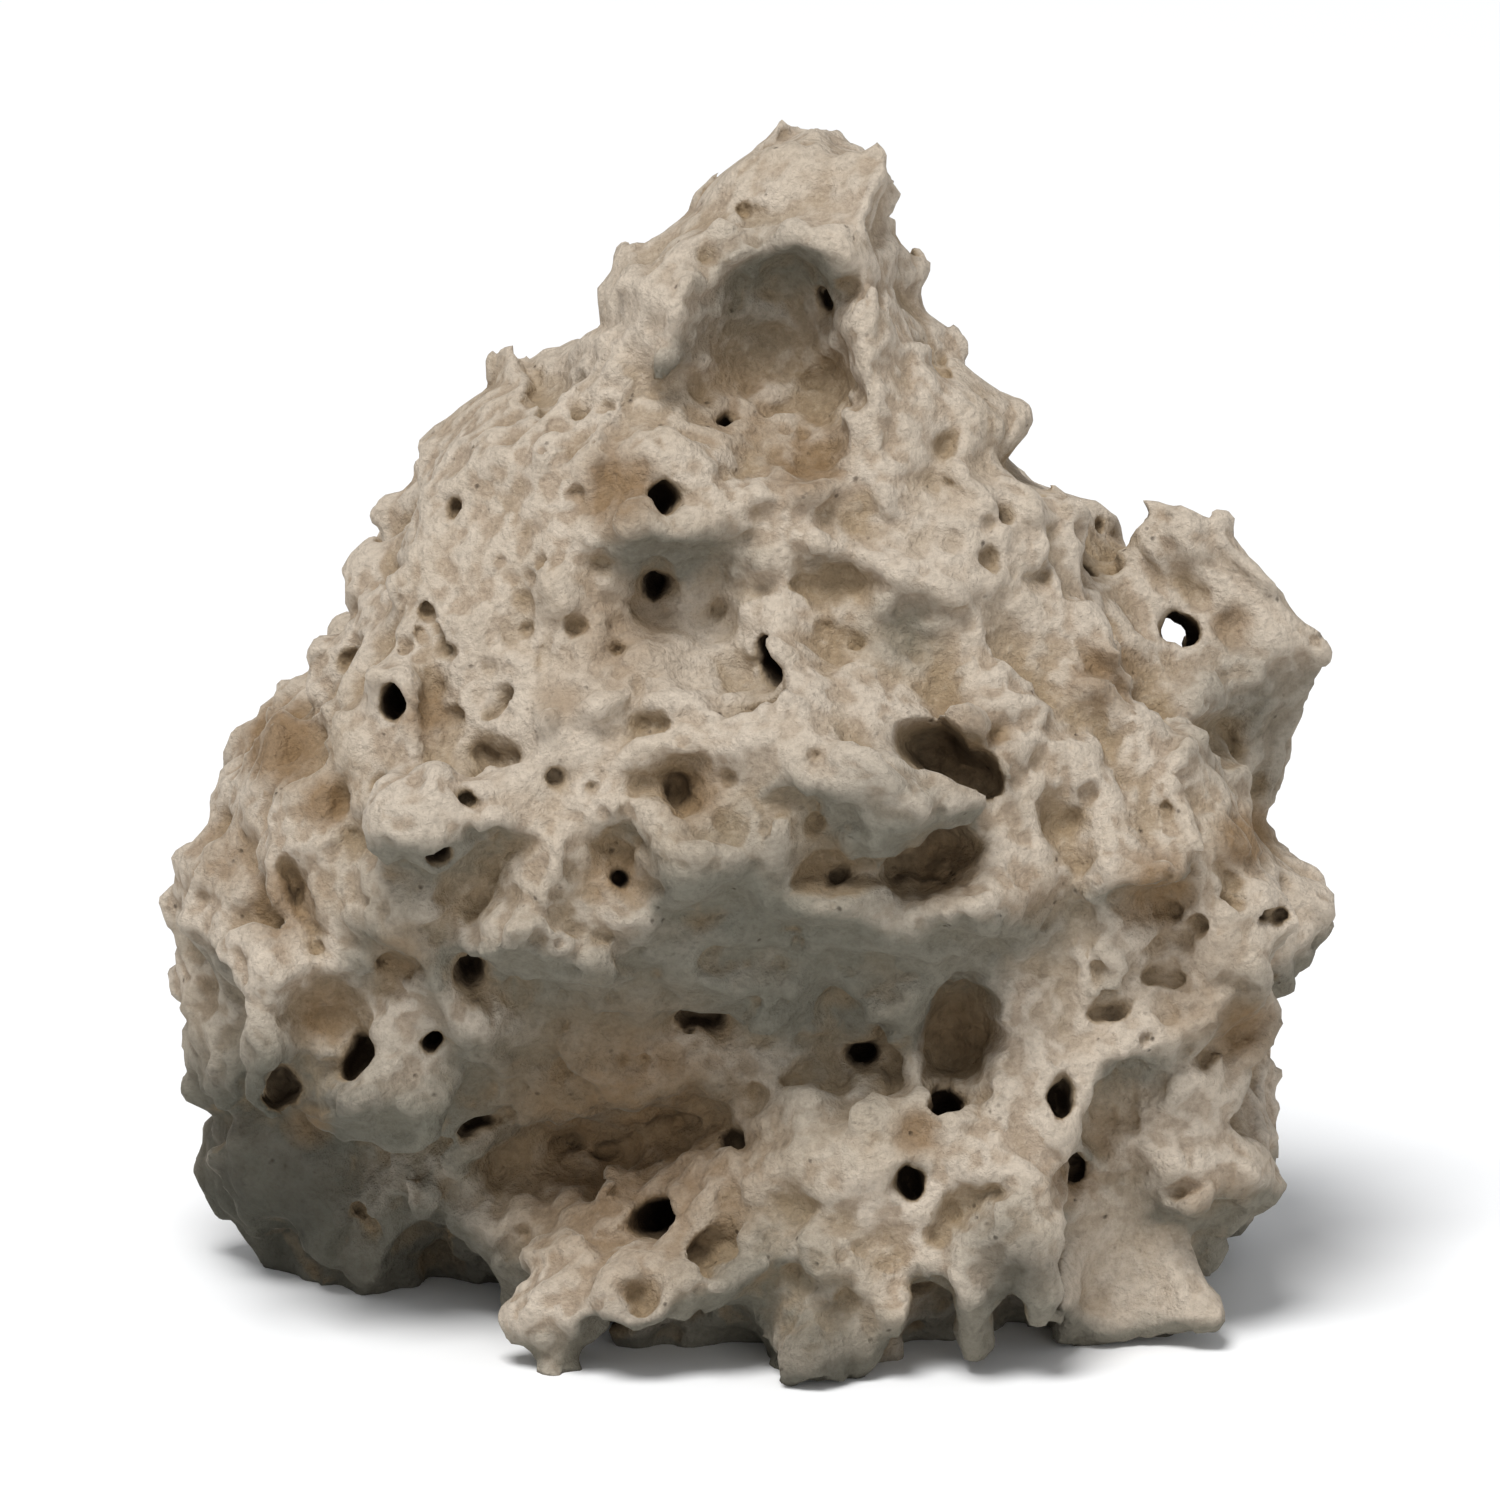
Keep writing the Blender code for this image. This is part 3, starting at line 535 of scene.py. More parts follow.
def press(points, outward, centre, inward, width, height, depth, turn, edge):
    """Presses an oval hollow into the points. A higher edge gives steeper walls."""
    side = inward.cross(UPWARD)
    side = side.normalized() if side.length > STEEP else SIDE.copy()
    side.rotate(Matrix.Rotation(math.radians(-turn), 3, inward))
    rise = side.cross(inward)
    offset = points - np.array(centre)
    reach = (max(width, height, 2 * abs(depth)) + PRESS_REACH) * SCALE
    near = np.flatnonzero(np.abs(offset).max(1) < reach)
    offset = offset[near]
    u = offset @ np.array(side) / (width / 2 * SCALE)
    v = offset @ np.array(rise) / (height / 2 * SCALE)
    radial = np.hypot(u, v)
    for size, share in WOBBLES:
        radial *= [1 + share * noise.noise(Vector(p) / (size * SCALE)) for p in points[near]]
    fall = np.clip(1 - radial ** edge, 0, 1)
    fall *= np.clip(1 - offset @ np.array(inward) / reach, 0, 1)
    fall *= np.clip((FAR_SIDE - outward[near] @ np.array(inward)) / FAR_SIDE, 0, 1)
    points[near] += np.array(inward) * (depth * SCALE * fall)[:, None]


def press_front(stone, table, edge, lip=False):
    """Presses a table's hollows into the front. Those with a lip carry a thin wall along."""
    tree = surface_tree(stone)
    points, outward = read_points(stone)
    carried = np.zeros_like(outward) if lip else outward
    for name, row in table.items():
        across, up, width, height, depth, turn = row[:6]
        lean = row[6:] or (0, 0)
        place, facing = on_front(tree, across, up)
        if place is None:
            raise RuntimeError("no stone at " + name)
        inward = INWARD.lerp(-facing, TURN_TO_SURFACE) + SIDE * lean[0] + RISE * lean[1]
        inward.normalize()
        if lip:
            wide, high = width * HOLE_LIP, height * HOLE_LIP
            press(points, outward, place, inward, wide, high, HOLE_LIP_DEPTH, turn, HOLLOW_EDGE)
        press(points, carried, place, inward, width, height, depth, turn, edge)
    write_points(stone, points)


def flatten_facets(stone):
    """Flattens the front where it broke along a plane."""
    tree = surface_tree(stone)
    points, _ = read_points(stone)
    for across, up, width, height, right, rise in FACETS.values():
        place, _ = on_front(tree, across, up)
        facing = (SIDE * right + RISE * rise - INWARD).normalized()
        offset = points - np.array(place)
        u = offset @ np.array(SIDE) / (width / 2 * SCALE)
        v = offset @ np.array(RISE) / (height / 2 * SCALE)
        above = offset @ np.array(facing)
        w = above / (width / 2 * SCALE)
        weight = FACET_HOLD * np.clip(1 - (u * u + v * v + w * w) ** 2, 0, 1)
        points -= np.array(facing) * (weight * above)[:, None]
    write_points(stone, points)


def press_hollows(stone):
    """Hollows the underside from below, so that the stone stands on its knobs."""
    points, outward = read_points(stone)
    for across, inward, width, length, height in HOLLOWS.values():
        centre = Vector((across, inward, LOWEST)) * SCALE
        press(points, outward, centre, UPWARD, width, length, height, 0, HOLLOW_EDGE)
    write_points(stone, points)


def cut_flat(stone):
    """Rubs the lowest knobs flat at the ground, so that the stone stands still."""
    shape = bmesh.new()
    shape.from_mesh(stone.data)
    cut = bmesh.ops.bisect_plane(
        shape, geom=shape.verts[:] + shape.edges[:] + shape.faces[:],
        plane_co=(0, 0, 0), plane_no=(0, 0, -1), clear_outer=True,
    )
    edges = [e for e in cut["geom_cut"] if isinstance(e, bmesh.types.BMEdge)]
    bmesh.ops.triangle_fill(shape, edges=edges, use_beauty=True)
    bmesh.ops.recalc_face_normals(shape, faces=shape.faces)
    shape.to_mesh(stone.data)
    shape.free()


def seen_from_front(tree, place):
    """Whether the line of sight reaches this place."""
    met, _, _, _ = tree.ray_cast(place - INWARD, INWARD)
    return met is not None and (met - place).length < NEAR_PLACE


def press_spare_pits(stone):
    """Pits where the front's own don't reach: the back, the sides, the top and the foot."""
    rng = random.Random(SEED)
    tree = surface_tree(stone)
    points, outward = read_points(stone)
    made = 0
    while made < SPARE_PITS:
        aim = Vector([rng.gauss(0, 1) for _ in range(3)]).normalized()
        place, facing, _, _ = tree.ray_cast(Vector(MIDDLE) * SCALE + aim, -aim)
        inward = -facing
        if inward.dot(INWARD) > FRONT_SHARE:
            continue
        small, large = SPARE_PIT_WIDTH
        width = small + (large - small) * rng.random() ** SPARE_PIT_SMALLNESS
        height = width * rng.uniform(*SPARE_PIT_HEIGHT)
        depth = width * rng.uniform(*SPARE_PIT_DEPTH)
        turn = rng.uniform(0, 180)
        made += 1
        if not seen_from_front(tree, place):
            press(points, outward, place, inward, width, height, depth, turn, HOLE_EDGE)
    write_points(stone, points)


def bore_ear(stone):
    """Cuts the bore through the ear."""
    across, up, width, lean = EAR_BORE
    axis = (INWARD + SIDE * lean[0] + RISE * lean[1]).normalized()
    place, _ = on_front(surface_tree(stone), across, up)
    middle = place + axis * (EAR_BORE_LENGTH / 2 - EAR_BORE_START) * SCALE
    radius = width / 2 * SCALE
    shape = bmesh.new()
    bmesh.ops.create_cone(
        shape, cap_ends=True, segments=EAR_BORE_SIDES, radius1=radius, radius2=radius,
        depth=EAR_BORE_LENGTH * SCALE,
        matrix=Matrix.Translation(middle) @ axis.to_track_quat("Z", "Y").to_matrix().to_4x4(),
    )
    mesh = bpy.data.meshes.new("ear_bore_cutter")
    shape.to_mesh(mesh)
    shape.free()
    cutter = bpy.data.objects.new("ear_bore_cutter", mesh)
    bpy.context.scene.collection.objects.link(cutter)
    modified(stone, "BOOLEAN", object=cutter, operation="DIFFERENCE")
    bpy.data.objects.remove(cutter)


def neighbours(stone):
    """The two ends of every edge, and how many edges meet at each point."""
    mesh = stone.data
    ends = np.zeros(len(mesh.edges) * 2, dtype=np.int32)
    mesh.edges.foreach_get("vertices", ends)
    ends = ends.reshape(-1, 2)
    count = np.bincount(ends.ravel(), minlength=len(mesh.vertices))
    return ends, count


def smoothed(points, ends, count, steps):
    """The points after they were averaged with their neighbours a few times."""
    for _ in range(steps):
        total = np.empty_like(points)
        for axis in range(points.shape[1]):
            total[:, axis] = np.bincount(ends[:, 0], points[ends[:, 1], axis], len(points))
            total[:, axis] += np.bincount(ends[:, 1], points[ends[:, 0], axis], len(points))
        points = (points + total / count[:, None]) / 2
    return points


def blunt(stone):
    """Wears down thin tips: no point stays far out of the evened surface."""
    points, outward = read_points(stone)
    even = smoothed(points, *neighbours(stone), BLUNT_STEPS)
    offset = points - even
    proud = (offset * outward).sum(1) > 0
    share = np.minimum(1, TIP * SCALE / np.linalg.norm(offset, axis=1).clip(LEAST_EDGE))
    write_points(stone, np.where(proud[:, None], even + offset * share[:, None], points))


def largest_body(shape):
    """The corners of the largest connected body."""
    left = set(shape.verts)
    largest = set()
    while left:
        found = {left.pop()}
        grown = found
        while grown:
            grown = {edge.other_vert(vert) for vert in grown for edge in vert.link_edges} & left
            left -= grown
            found |= grown
        largest = max(largest, found, key=len)
    return largest


# Fine relief: the size and height of small scallops and chips, and how far they are bent
FINE_SCALLOPS = ((4.6, 0.8), (2.6, 0.4))
FINE_CHIPS = ((6.5, 1.3), (3.2, 0.8))
FINE_BEND_SIZE = 9.0
FINE_BEND = 2.5

# Crumbly grain: its size and height, and the fade, step, layers, offset and gain of its noise
CRUMB_SIZE = 7.0
CRUMB = 0.5
CRUMB_NOISE = (0.8, 2.1, 5, 1.0, 2.0)
CRUMB_MIDDLE = 1.0

# Faint layers of the rock: their thickness and height, and how their level wanders
STRATA_SIZE = 5.0
STRATA = 0.35
STRATA_BEND_SIZE = 20.0
STRATA_BEND = 3

# How much calmer the fine relief is on the flat faces of the front
CALM = 0.55

# Little pits all over: their width, and height and depth as shares of it
FINE_PITS = 700
FINE_PIT_WIDTH = (1.5, 4.0)
FINE_PIT_SMALLNESS = 2.0
FINE_PIT_HEIGHT = (0.6, 1.3)
FINE_PIT_DEPTH = (0.5, 1.1)
CLEAR_OF_HOLES = 0.9

# Crumbled patches of the front: across, up, radius, and how many little pits they hold
CRUMBLED = (
    (68, 52, 17, 60),
    (38, 117, 5, 9),
    (56, 114, 6, 12),
    (47, 111, 5, 8),
    (-35, 116, 5, 9),
    (-54, 107, 7, 12),
    (-38, 97, 6, 12),
    (47, 46, 6, 8),
    (57, 44, 6, 10),
    (-30, 57, 7, 8),
    (34, 134, 4, 5),
    (12, 7, 6, 6),
)
CRUMB_WIDTH = (1.6, 4.0)
CRUMB_SMALLNESS = 1.0
CRUMB_SPREAD = 0.5

# Brown patches of the front: across, up, radius and strength
STAINS = (
    (-74, 87, 8, 1.0),
    (-67, 78, 5, 0.9),
    (-74, 62, 8, 0.7),
    (-82, 70, 10, 0.5),
    (-51, 92, 6, 0.7),
    (-30, 94, 5, 0.6),
    (-20, 104, 12, 0.55),
    (-2, 140, 10, 0.5),
    (9, 131, 8, 0.75),
    (-21, 127, 8, 0.8),
    (-9, 80, 7, 0.7),
    (-21, 67, 7, 0.6),
    (11, 69, 7, 0.45),
    (30, 68, 8, 0.6),
    (34, 87, 9, 0.6),
    (10, 104, 8, 0.35),
    (56, 98, 7, 0.7),
    (76, 106, 5, 0.6),
    (78, 72, 6, 0.9),
    (64, 64, 8, 0.8),
    (70, 52, 13, 0.4),
    (78, 42, 7, 0.8),
    (70, 45, 8, 0.5),
    (45, 63, 6, 0.5),
    (33, 42, 7, 0.6),
    (26, 26, 5, 0.7),
    (56, 26, 5, 0.45),
    (50, 18, 5, 0.7),
    (-20, 25, 26, 0.75),
    (-3, 13, 5, 0.6),
    (-22, 12, 5, 0.6),
    (-55, 54, 6, 0.6),
    (-67, 45, 7, 0.7),
    (-70, 27, 5, 0.6),
    (71, 16, 5, 0.5),
    (77, 17, 4, 0.5),
)

# Patches of painted shade on the front, in grey-green: across, up, radius and strength
PAINTED_SHADE_PATCHES = (
    (-74, 20, 24, 1.0),
    (-50, 22, 16, 0.8),
    (2, 2, 14, 0.75),
    (6, 52, 26, 0.75),
    (-30, 44, 18, 0.5),
    (-55, 66, 10, 0.3),
    (2, 158, 10, 0.6),
    (-16, 117, 8, 0.35),
    (24, 105, 6, 0.8),
    (22, 75, 12, 0.5),
    (40, 8, 9, 0.6),
    (10, -6, 10, 0.7),
    (78, 92, 10, 0.6),
)

# Painted light: the palest patches, where faces that the light falls on are painted pale
PAINTED_LIGHT_PATCHES = (
    (60, 0, 15, 1.0),
    (10, 175, 12, 0.3),
    (-24, 154, 14, 0.9),
    (-33, 91, 14, 1.0),
    (2, 92, 10, 0.6),
    (-10, 104, 14, 1.0),
    (35, 118, 14, 0.7),
    (80, 112, 9, 0.7),
    (62, 44, 20, 0.6),
    (86, 62, 8, 0.5),
)

# Painted shadow: the darkest patches, next to the ground
PAINTED_SHADOW_PATCHES = (
    (-78, 14, 20, 1.0),
    (-52, 6, 10, 0.6),
    (-20, -8, 8, 0.5),
    (12, -12, 10, 0.6),
    (41, 4, 6, 0.7),
)

# The stains are the stone's own colour; the other patches are painted shade, painted shadow and painted
# light
PATCHES = {"stain": STAINS, "painted_shade": PAINTED_SHADE_PATCHES, "light": PAINTED_LIGHT_PATCHES, "painted_shadow": PAINTED_SHADOW_PATCHES}

# How far a patch fades out past its radius, and how it fades where the surface turns away
PATCH_FADE = 1.4
PATCH_TURN = (1.5, 0.5)

# How shade is measured, for the painted shade: the number of looks around each point, how far they
# reach, and the evening of the surface against which ridges, basins and shaded undersides stand out
LOOKS = 20
LOOK_REACH = 11.0 * MM
LOOK_START = 0.5 * MM
RIDGE_STEPS = 3
RIDGE_GAIN = 2.0
BASIN_STEPS = 60
BASIN_GAIN = 0.25
UNDERSIDE_SHADE_STEPS = 40
MASK_MIDDLE = 0.5

# Sizes of the material's noises, in millimetres, with their detail and roughness
BLOTCH = (22, 4.0, 0.6)
MOTTLE = (5, 7.0, 0.68)
GRAIN = (1.4, 5.0, 0.72)
POWDER = (0.5, 3.0, 0.6)
PORE_PATCH = (6, 2.0, 0.6)
PORE_SIZE = 2.3
CRUMB_CELL = 1.3

# How each effect comes in: where its mask or noise starts and stops rising, and what it gives there
GRADES = {
    "pale": (0.56, 1.0, 0.0, 1.0),
    "blotched": (0.45, 0.72, 0.0, 0.35),
    "sunk": (0.72, 1.15, 0.0, 0.7),
    "chalky": (0.52, 0.72, 0.0, 0.4),
    # Painted light on the palest patches
    "painted_lit": (0.3, 0.6, 0.45, 1.0),
    # Painted shade on faces turned to the ground, then on the grey patches, then painted shadow next to
    # the ground
    "under": (0.62, 0.86, 0.0, 1.0),
    "painted_shade": (0.3, 0.6, 0.5, 0.95),
    "painted_shadow_depth": (0.3, 0.65, 0.9, 0.6),
    "shallow": (0.35, 0.75, 0.0, 1.0),
    "stained": (0.25, 0.9, 0.0, 0.85),
    # Painted shade at the bottoms of deep holes
    "deep": (0.6, 0.93, 0.0, 1.0),
    "gritty": (0.36, 0.56, 0.22, 0.0),
    "pore": (0.06, 0.22, 0.0, 1.0),
    "pore_patch": (0.6, 0.66, 0.0, 1.0),
    "roughness": (0.2, 0.8, 0.86, 0.98),
    "floor": (0.3, 0.7, 0.0, 1.0),
}

# How much the mottling or the blotches break up the edge of each effect
PALE_BREAK = 0.5
SUNK_BREAK = 0.4
# The next one breaks up the edge of the painted shade on the undersides
UNDERSIDE_SHADE_BREAK = 0.25
SHALLOW_BREAK = 0.3
STAIN_LIFT = 0.55

# How strongly these effects cover the ones under them, the painted shade of the undersides among them,
# and how dark the painted shadow is beside the grey of the painted shade
UNDERSIDE_SHADE_SHARE = 0.8
SHALLOW_SHARE = 0.75
PINHOLE_SHARE = 0.6
PAINTED_SHADOW_SHARE = 0.3

# How far each effect lifts or sinks the bump, as shares of the grain's depth
BUMP_MOTTLE = 2.6
BUMP_GRAIN = 1.5
BUMP_CRUMB = 0.55
BUMP_POWDER = 0.35
BUMP_PINHOLE = 0.8
STONE_GLOSS = 0.1

# The faint unevenness of the floor's colour: its size, and how much darker it gets
FLOOR_NOISE = (400, 4.0, 0.6)
FLOOR_SHADE = 0.985


class StoneSizes(bpy.types.PropertyGroup):
    relief: FloatProperty(
        name="Fine Relief", description="How strongly the fine relief stands out",
        default=1.0, min=0.0, max=2.0, subtype="FACTOR",
    )
    pits: IntProperty(
        name="Little Pits", description="How many little pits the whole stone has",
        default=FINE_PITS, min=0, max=2000,
    )
    grain: FloatProperty(
        name="Grain Depth", description="How deep the powdery grain of the surface looks",
        default=0.6 * MM, min=0.0, max=2 * MM, unit="LENGTH", precision=5,
    )


def colour(name, description, value):
    """A colour that a user may change."""
    return FloatVectorProperty(
        name=name, description=description, subtype="COLOR", size=3,
        min=0.0, max=1.0, default=value,
    )


class StoneColours(bpy.types.PropertyGroup):
    cream: colour("Cream", "The stone's lit, worn faces", (0.445, 0.352, 0.262))
    # Chalk is also the colour of the painted light on the palest patches
    chalk_and_painted_light: colour("Chalk", "The palest dusty ridges", (0.6, 0.512, 0.412))
    tan: colour("Tan", "Shallow hollows", (0.35, 0.255, 0.15))
    brown: colour("Brown", "Stained patches", (0.25, 0.155, 0.075))
    # Painted shade: this dark umber fills the bottoms of deep holes and the pinholes; it also tints the
    # dark grit
    umber_and_hole_shade: colour("Umber", "The bottoms of deep holes", (0.045, 0.03, 0.018))
    # Painted shade: this grey is painted on faces turned to the ground and on the grey patches, in place
    # of shade
    painted_shade_grey: colour("Grey", "Faces turned to the ground", (0.165, 0.16, 0.125))


class StageSettings(bpy.types.PropertyGroup):
    distance: FloatProperty(
        name="Camera Distance", description="From the camera to the middle of the stone",
        default=4.0, min=0.3, max=10.0, unit="LENGTH",
    )
    view_width: FloatProperty(
        name="View Width", description="How wide the view is at the stone",
        default=0.2375, min=0.05, max=2.0, unit="LENGTH",
    )
    target_height: FloatProperty(
        name="Aim Height", description="The height at which the camera is aimed",
        default=0.0889, min=0.0, max=1.0, unit="LENGTH",
    )
    key_power: FloatProperty(
        name="Key Light", description="Power of the large soft light overhead",
        default=390.0, min=0.0, max=2000.0, unit="POWER",
    )
    fill_power: FloatProperty(
        name="Fill Light", description="Power of the soft light beside the camera",
        default=11.0, min=0.0, max=500.0, unit="POWER",
    )
    sky: FloatProperty(
        name="Room Light", description="Strength of the even light of the room",
        default=0.45, min=0.0, max=5.0,
    )
    floor_colour: colour("Floor", "The plain pale floor", (0.9, 0.9, 0.9))


def write_mask(stone, name, values):
    """Keeps one number for each point of the stone, for the material to read."""
    attribute = stone.data.attributes.new(name, "FLOAT", "POINT")
    attribute.data.foreach_set("value", np.clip(values, 0, 1).astype(np.float32))


def look_directions():
    """Directions spread evenly over a ball."""
    golden = math.pi * (3 - math.sqrt(5))
    for index in range(LOOKS):
        z = 1 - (2 * index + 1) / LOOKS
        radius = math.sqrt(1 - z * z)
        yield Vector((math.cos(golden * index) * radius, math.sin(golden * index) * radius, z))


def enclosure(stone):
    """For each point, the share of looks outward that meet the stone close by."""
    tree = surface_tree(stone)
    points, outward = read_points(stone)
    around = list(look_directions())
    met = np.zeros(len(points))
    for index, (point, normal) in enumerate(zip(points.tolist(), outward.tolist())):
        normal = Vector(normal)
        start = Vector(point) + normal * LOOK_START
        for look in around:
            if tree.ray_cast(start, (normal + look).normalized(), LOOK_REACH)[0]:
                met[index] += 1
    return met / LOOKS


def patch_mask(stone, patches):
    """Where the front's patches of one kind are."""
    points, outward = read_points(stone)
    across = points[:, 0] / SCALE
    up = points @ np.array(RISE) / SCALE
    gain, middle = PATCH_TURN
    facing = np.clip(-(outward @ np.array(INWARD)) * gain + middle, 0, 1)
    mask = np.zeros(len(points))
    for patch_across, patch_up, radius, strength in patches:
        away = np.hypot(across - patch_across, up - patch_up) / radius
        mask = np.maximum(mask, strength * np.clip(PATCH_FADE - away, 0, 1))
    return mask * facing


def write_masks(stone):
    """The masks that the material reads: hollows, ridges, the undersides that get painted shade, and the
    patches of stains, painted shade, painted shadow and painted light.
    """
    points, outward = read_points(stone)
    ends, count = neighbours(stone)
    near = smoothed(points, ends, count, RIDGE_STEPS)
    proud = ((points - near) * outward).sum(1) / MM
    write_mask(stone, "ridge", MASK_MIDDLE + proud * RIDGE_GAIN)
    wide = smoothed(near, ends, count, BASIN_STEPS)
    sunk = ((wide - points) * outward).sum(1) / MM
    write_mask(stone, "basin", MASK_MIDDLE + sunk * BASIN_GAIN)
    # Painted shade: how far each point faces the ground, for the grey painted on the undersides
    broad = smoothed(outward, ends, count, UNDERSIDE_SHADE_STEPS)
    broad /= np.linalg.norm(broad, axis=1)[:, None]
    write_mask(stone, "painted_underside_shade", MASK_MIDDLE - broad[:, 2] / 2)
    # The enclosure gives tan to shallow hollows, and painted shade to the bottoms of deep holes
    write_mask(stone, "hollow", enclosure(stone))
    for name, patches in PATCHES.items():
        write_mask(stone, name, patch_mask(stone, patches))


def near_hole(across, up):
    """Whether one of the front's own holes is here."""
    for hole_across, hole_up, width, height, *_ in HOLES.values():
        clear = max(width, height) * CLEAR_OF_HOLES
        if math.hypot(across - hole_across, up - hole_up) < clear:
            return True
    return False


def press_pit(points, outward, tree, rng, width_range, smallness, start, aim):
    """One little pit where a look from outside meets the stone."""
    place, facing, _, _ = tree.ray_cast(start, aim)
    if place is None or near_hole(place.x / SCALE, place.dot(RISE) / SCALE):
        return
    small, large = width_range
    width = small + (large - small) * rng.random() ** smallness
    height = width * rng.uniform(*FINE_PIT_HEIGHT)
    depth = width * rng.uniform(*FINE_PIT_DEPTH)
    turn = rng.uniform(0, 180)
    press(points, outward, place, -facing, width, height, depth, turn, HOLE_EDGE)


def press_fine_pits(stone, pits):
    """Little pits all over the stone, and more of them in its crumbled patches."""
    rng = random.Random(SEED + 1)
    tree = surface_tree(stone)
    points, outward = read_points(stone)
    for _ in range(pits):
        aim = Vector([rng.gauss(0, 1) for _ in range(3)]).normalized()
        start = Vector(MIDDLE) * SCALE + aim
        press_pit(points, outward, tree, rng, FINE_PIT_WIDTH, FINE_PIT_SMALLNESS, start, -aim)
    for across, up, radius, number in CRUMBLED:
        for _ in range(number):
            pit_across = across + rng.gauss(0, CRUMB_SPREAD) * radius
            pit_up = up + rng.gauss(0, CRUMB_SPREAD) * radius
            if near_hole(pit_across, pit_up):
                continue
            start = (SIDE * pit_across + RISE * pit_up) * SCALE - INWARD
            press_pit(points, outward, tree, rng, CRUMB_WIDTH, CRUMB_SMALLNESS, start, INWARD)
    write_points(stone, points)


def roughen(stone, strength):
    """Small scallops, crumbly grain and faint layers over the whole surface."""
    points, outward = read_points(stone)
    heights = np.zeros(len(points))
    flat = [(row[0], row[1], max(row[2:4]) / 2, 1) for row in FACETS.values()]
    calm = 1 - CALM * patch_mask(stone, flat)
    for index, point in enumerate(points.tolist()):
        place = Vector(point) / SCALE
        bent = place + noise.noise_vector(place / FINE_BEND_SIZE) * FINE_BEND
        crumbs = noise.ridged_multi_fractal(bent / CRUMB_SIZE, *CRUMB_NOISE)
        height = CRUMB * (crumbs - CRUMB_MIDDLE)
        for size, rise in FINE_SCALLOPS:
            height += rise * (scallop(bent / size) - SCALLOP_RIM)
        for size, rise in FINE_CHIPS:
            height += rise * chip(bent, size)
        layer = bent.z / STRATA_SIZE + noise.noise(place / STRATA_BEND_SIZE) * STRATA_BEND
        height += STRATA * abs(math.sin(layer * math.pi))
        heights[index] = height
    write_points(stone, points + outward * (heights * calm * SCALE * strength)[:, None])


def carve_stone():
    """The stone as the CAD source carves it."""
    noise.seed_set(SEED)
    stone = stone_object()
    remesh(stone, smooth=BLEND)
    press_hollows(stone)
    weather(stone)
    flatten_facets(stone)
    remesh(stone, smooth=0)
    press_front(stone, FORMS, FORM_EDGE)
    bore_ear(stone)
    modified(stone, "REMESH", mode="VOXEL", voxel_size=FINE_VOXEL)
    press_front(stone, HOLES, HOLE_EDGE, lip=True)
    press_spare_pits(stone)
    return stone


def finish_mesh(stone):
    """Brings the stone down to its number of triangles and closes it at the ground."""
    modified(stone, "REMESH", mode="VOXEL", voxel_size=FINE_VOXEL)
    blunt(stone)
    fit_outline(stone)
    modified(stone, "TRIANGULATE")
    modified(stone, "DECIMATE", ratio=FACES_WANTED / len(stone.data.polygons))
    cut_flat(stone)
    shape = bmesh.new()
    shape.from_mesh(stone.data)
    kept = largest_body(shape)
    bmesh.ops.delete(shape, geom=[v for v in shape.verts if v not in kept], context="VERTS")
    bmesh.ops.dissolve_degenerate(shape, dist=LEAST_EDGE, edges=shape.edges)
    bmesh.ops.triangulate(shape, faces=shape.faces)
    bmesh.ops.recalc_face_normals(shape, faces=shape.faces)
    for face in shape.faces:
        face.smooth = any(vert.co.z > LEAST_EDGE for vert in face.verts)
    shape.to_mesh(stone.data)
    shape.free()


def move_onto_frame(stone):
    """Sets the stone where the CAD's stone is."""
    points, _ = read_points(stone)
    middle = (points.min(0) + points.max(0)) / 2
    wanted = (np.array(NODE_BOX[0]) + np.array(NODE_BOX[1])) / 2
    move = np.array([wanted[0] - middle[0], wanted[1] - middle[1], 0.0])
    write_points(stone, points + move)


# Where a colour mix node has its share, its two colours and its result
MIX_SHARE = 0
MIX_UNDER = 6
MIX_OVER = 7
MIX_RESULT = 2


class Nodes:
    """Adds nodes to a material's tree and joins them."""

    def __init__(self, tree):
        self.tree = tree

    def add(self, kind, inputs=(), **settings):
        node = self.tree.nodes.new(kind)
        for name, value in settings.items():
            setattr(node, name, value)
        for name, value in dict(inputs).items():
            if isinstance(value, bpy.types.NodeSocket):
                self.tree.links.new(value, node.inputs[name])
            else:
                node.inputs[name].default_value = value
        return node

    def mask(self, name):
        """One of the masks that were written on the stone."""
        return self.add("ShaderNodeAttribute", attribute_name=name).outputs["Fac"]

    def grade(self, value, name):
        """The value, brought in as the table of grades says."""
        inputs = dict(zip(("From Min", "From Max", "To Min", "To Max"), GRADES[name]))
        return self.add("ShaderNodeMapRange", {"Value": value, **inputs}).outputs["Result"]

    def plus(self, a, b):
        return self.add("ShaderNodeMath", {0: a, 1: b}, operation="ADD").outputs[0]

    def minus(self, a, b):
        return self.add("ShaderNodeMath", {0: a, 1: b}, operation="SUBTRACT").outputs[0]

    def times(self, a, b):
        return self.add("ShaderNodeMath", {0: a, 1: b}, operation="MULTIPLY").outputs[0]

    def mix(self, share, under, over):
        """The colour under, covered by the colour over as far as the share says."""
        inputs = {MIX_SHARE: share, MIX_UNDER: under, MIX_OVER: over}
        node = self.add("ShaderNodeMix", data_type="RGBA", inputs=inputs)
        return node.outputs[MIX_RESULT]

    def noise(self, place, size, detail, roughness):
        inputs = {"Vector": place, "Scale": 1 / (size * MM), "Detail": detail, "Roughness": roughness}
        return self.add("ShaderNodeTexNoise", inputs).outputs["Fac"]

    def cells(self, place, size):
        """The distance to the middle of the nearest cell."""
        inputs = {"Vector": place, "Scale": 1 / (size * MM), "Randomness": 1.0}
        return self.add("ShaderNodeTexVoronoi", inputs).outputs["Distance"]


